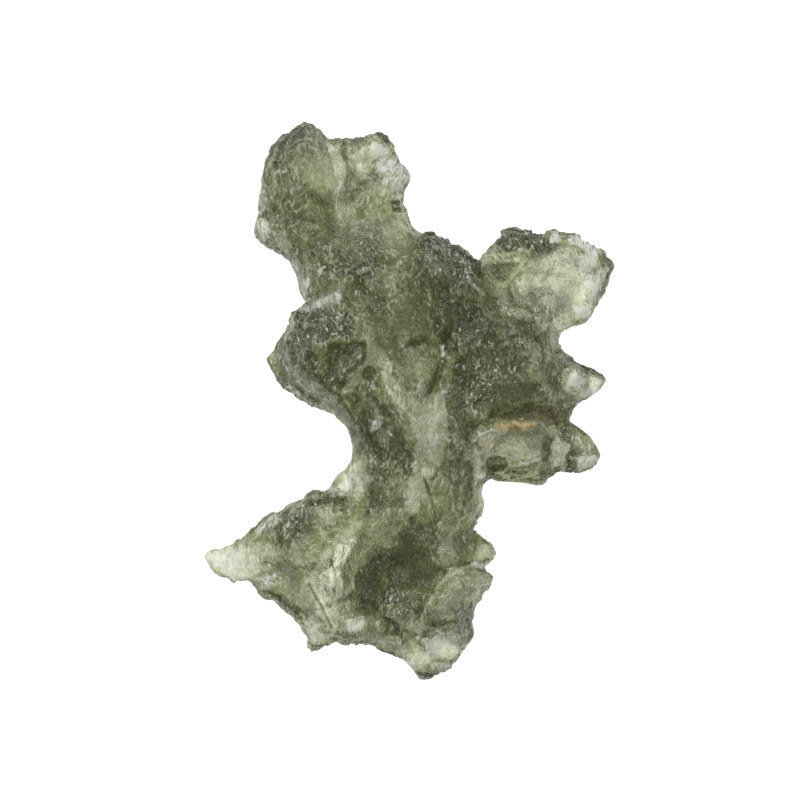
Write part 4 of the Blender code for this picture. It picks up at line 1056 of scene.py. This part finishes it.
def glass_color(s, p, marks):
    color = s.color_mix(p["mottle"], tuple(OLIVE_SHADE * c for c in OLIVE), OLIVE)
    color = s.color_mix(marks["pale"], color, PALE_GREEN)
    color = s.color_mix(marks["dark"], color, DARK_OLIVE)
    # Grey: painted reflection of the sky on smooth facets
    color = s.color_mix(marks["grey"], color, NEUTRAL_GREY)
    # Umber: painted shade in the crease, with a sediment tint
    color = s.color_mix(marks["brown"], color, UMBER)
    color = s.mix("RGBA", 1.0, color, glass_tone(s, p, marks), "MULTIPLY")
    # Frost white also carries the painted glints and the painted light on crests
    color = s.color_mix(marks["frost"], color, FROST_WHITE)
    return s.color_mix(marks["sediment"], color, OCHRE)


def glass_bump(s, p):
    height = 0.0
    for name, share in BUMPS.items():
        height = s.math("MULTIPLY_ADD", p[name], share, height)
    bump = s.nodes.new("ShaderNodeBump")
    bump.inputs["Strength"].default_value = 1.0
    bump.inputs["Distance"].default_value = BUMP_DEPTH * MM
    s.links.new(height, bump.inputs["Height"])
    return bump.outputs["Normal"]


def glass():
    s = Shading("green_glass")
    patterns = surface_patterns(s)
    marks = surface_marks(s, patterns)
    marks["frost"] = frosting(s, patterns, marks)
    clear = CLEAR_GLASS
    for name, clearness in MARK_CLEARNESS.items():
        clear = s.value_mix(marks[name], clear, clearness)
    rough = s.value_mix(patterns["fleck"], *GLASS_ROUGHNESS)
    for name, roughness in MARK_ROUGHNESS.items():
        rough = s.value_mix(marks[name], rough, roughness)
    s.feed(s.shader.inputs["Base Color"], glass_color(s, patterns, marks))
    s.feed(s.shader.inputs["Transmission Weight"], clear)
    s.feed(s.shader.inputs["Roughness"], rough)
    s.feed(s.shader.inputs["Normal"], glass_bump(s, patterns))
    s.shader.inputs["IOR"].default_value = GLASS_IOR

    absorb = s.nodes.new("ShaderNodeVolumeAbsorption")
    absorb.inputs["Color"].default_value = ABSORBED_COLOR
    absorb.inputs["Density"].default_value = ABSORPTION
    s.links.new(absorb.outputs["Volume"], s.nodes["Material Output"].inputs["Volume"])
    return s.material


def build_stone():
    stone = copy_of_solid("moldavite", "etched_glass")
    finely_meshed(stone)
    etch(stone)
    thin_out(stone)
    mark_skin(stone)
    stone.data.materials.append(glass())
    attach(stone, "root")
    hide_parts("moldavite")


def floor():
    material = bpy.data.materials.new("pale_floor")
    material.use_nodes = True
    shader = material.node_tree.nodes["Principled BSDF"]
    shader.inputs["Base Color"].default_value = FLOOR_COLOR
    shader.inputs["Roughness"].default_value = FLOOR_ROUGHNESS
    shader.inputs["Emission Color"].default_value = WHITE
    shader.inputs["Emission Strength"].default_value = FLOOR_GLOW
    bpy.ops.mesh.primitive_plane_add(size=FLOOR_SIZE, location=(0, 0, -FLOOR_DROP))
    plane = bpy.context.object
    plane.name = "floor"
    plane.data.materials.append(material)


def lights():
    world = bpy.data.worlds.new("studio")
    bpy.context.scene.world = world
    world.use_nodes = True
    background = world.node_tree.nodes["Background"]
    background.inputs["Color"].default_value = WHITE
    background.inputs["Strength"].default_value = SKY_LIGHT
    for name, (place, size, power) in LAMPS.items():
        light = bpy.data.lights.new(name, "AREA")
        light.shape = "SQUARE"
        light.size = size
        light.energy = power
        lamp = bpy.data.objects.new(name, light)
        lamp.location = place
        lamp.rotation_euler = Vector(place).to_track_quat("Z", "Y").to_euler()
        bpy.context.scene.collection.objects.link(lamp)


def camera():
    data = bpy.data.cameras.new("camera")
    data.sensor_width = SENSOR_WIDTH
    seen_width = PHOTO_SIZE / PX_PER_MM * MM
    data.lens = SENSOR_WIDTH * (CAMERA_HEIGHT - RIM_HEIGHT) / seen_width
    data.clip_start = NEAREST_SEEN
    eye = bpy.data.objects.new("camera", data)
    aside = [(PHOTO_SIZE / 2 - px) / PX_PER_MM * MM for px in STONE_MIDDLE_PX]
    eye.location = (aside[0], -aside[1], CAMERA_HEIGHT)
    bpy.context.scene.collection.objects.link(eye)
    bpy.context.scene.camera = eye


build_stone()
floor()
lights()
camera()
bpy.context.scene.view_settings.view_transform = "Standard"
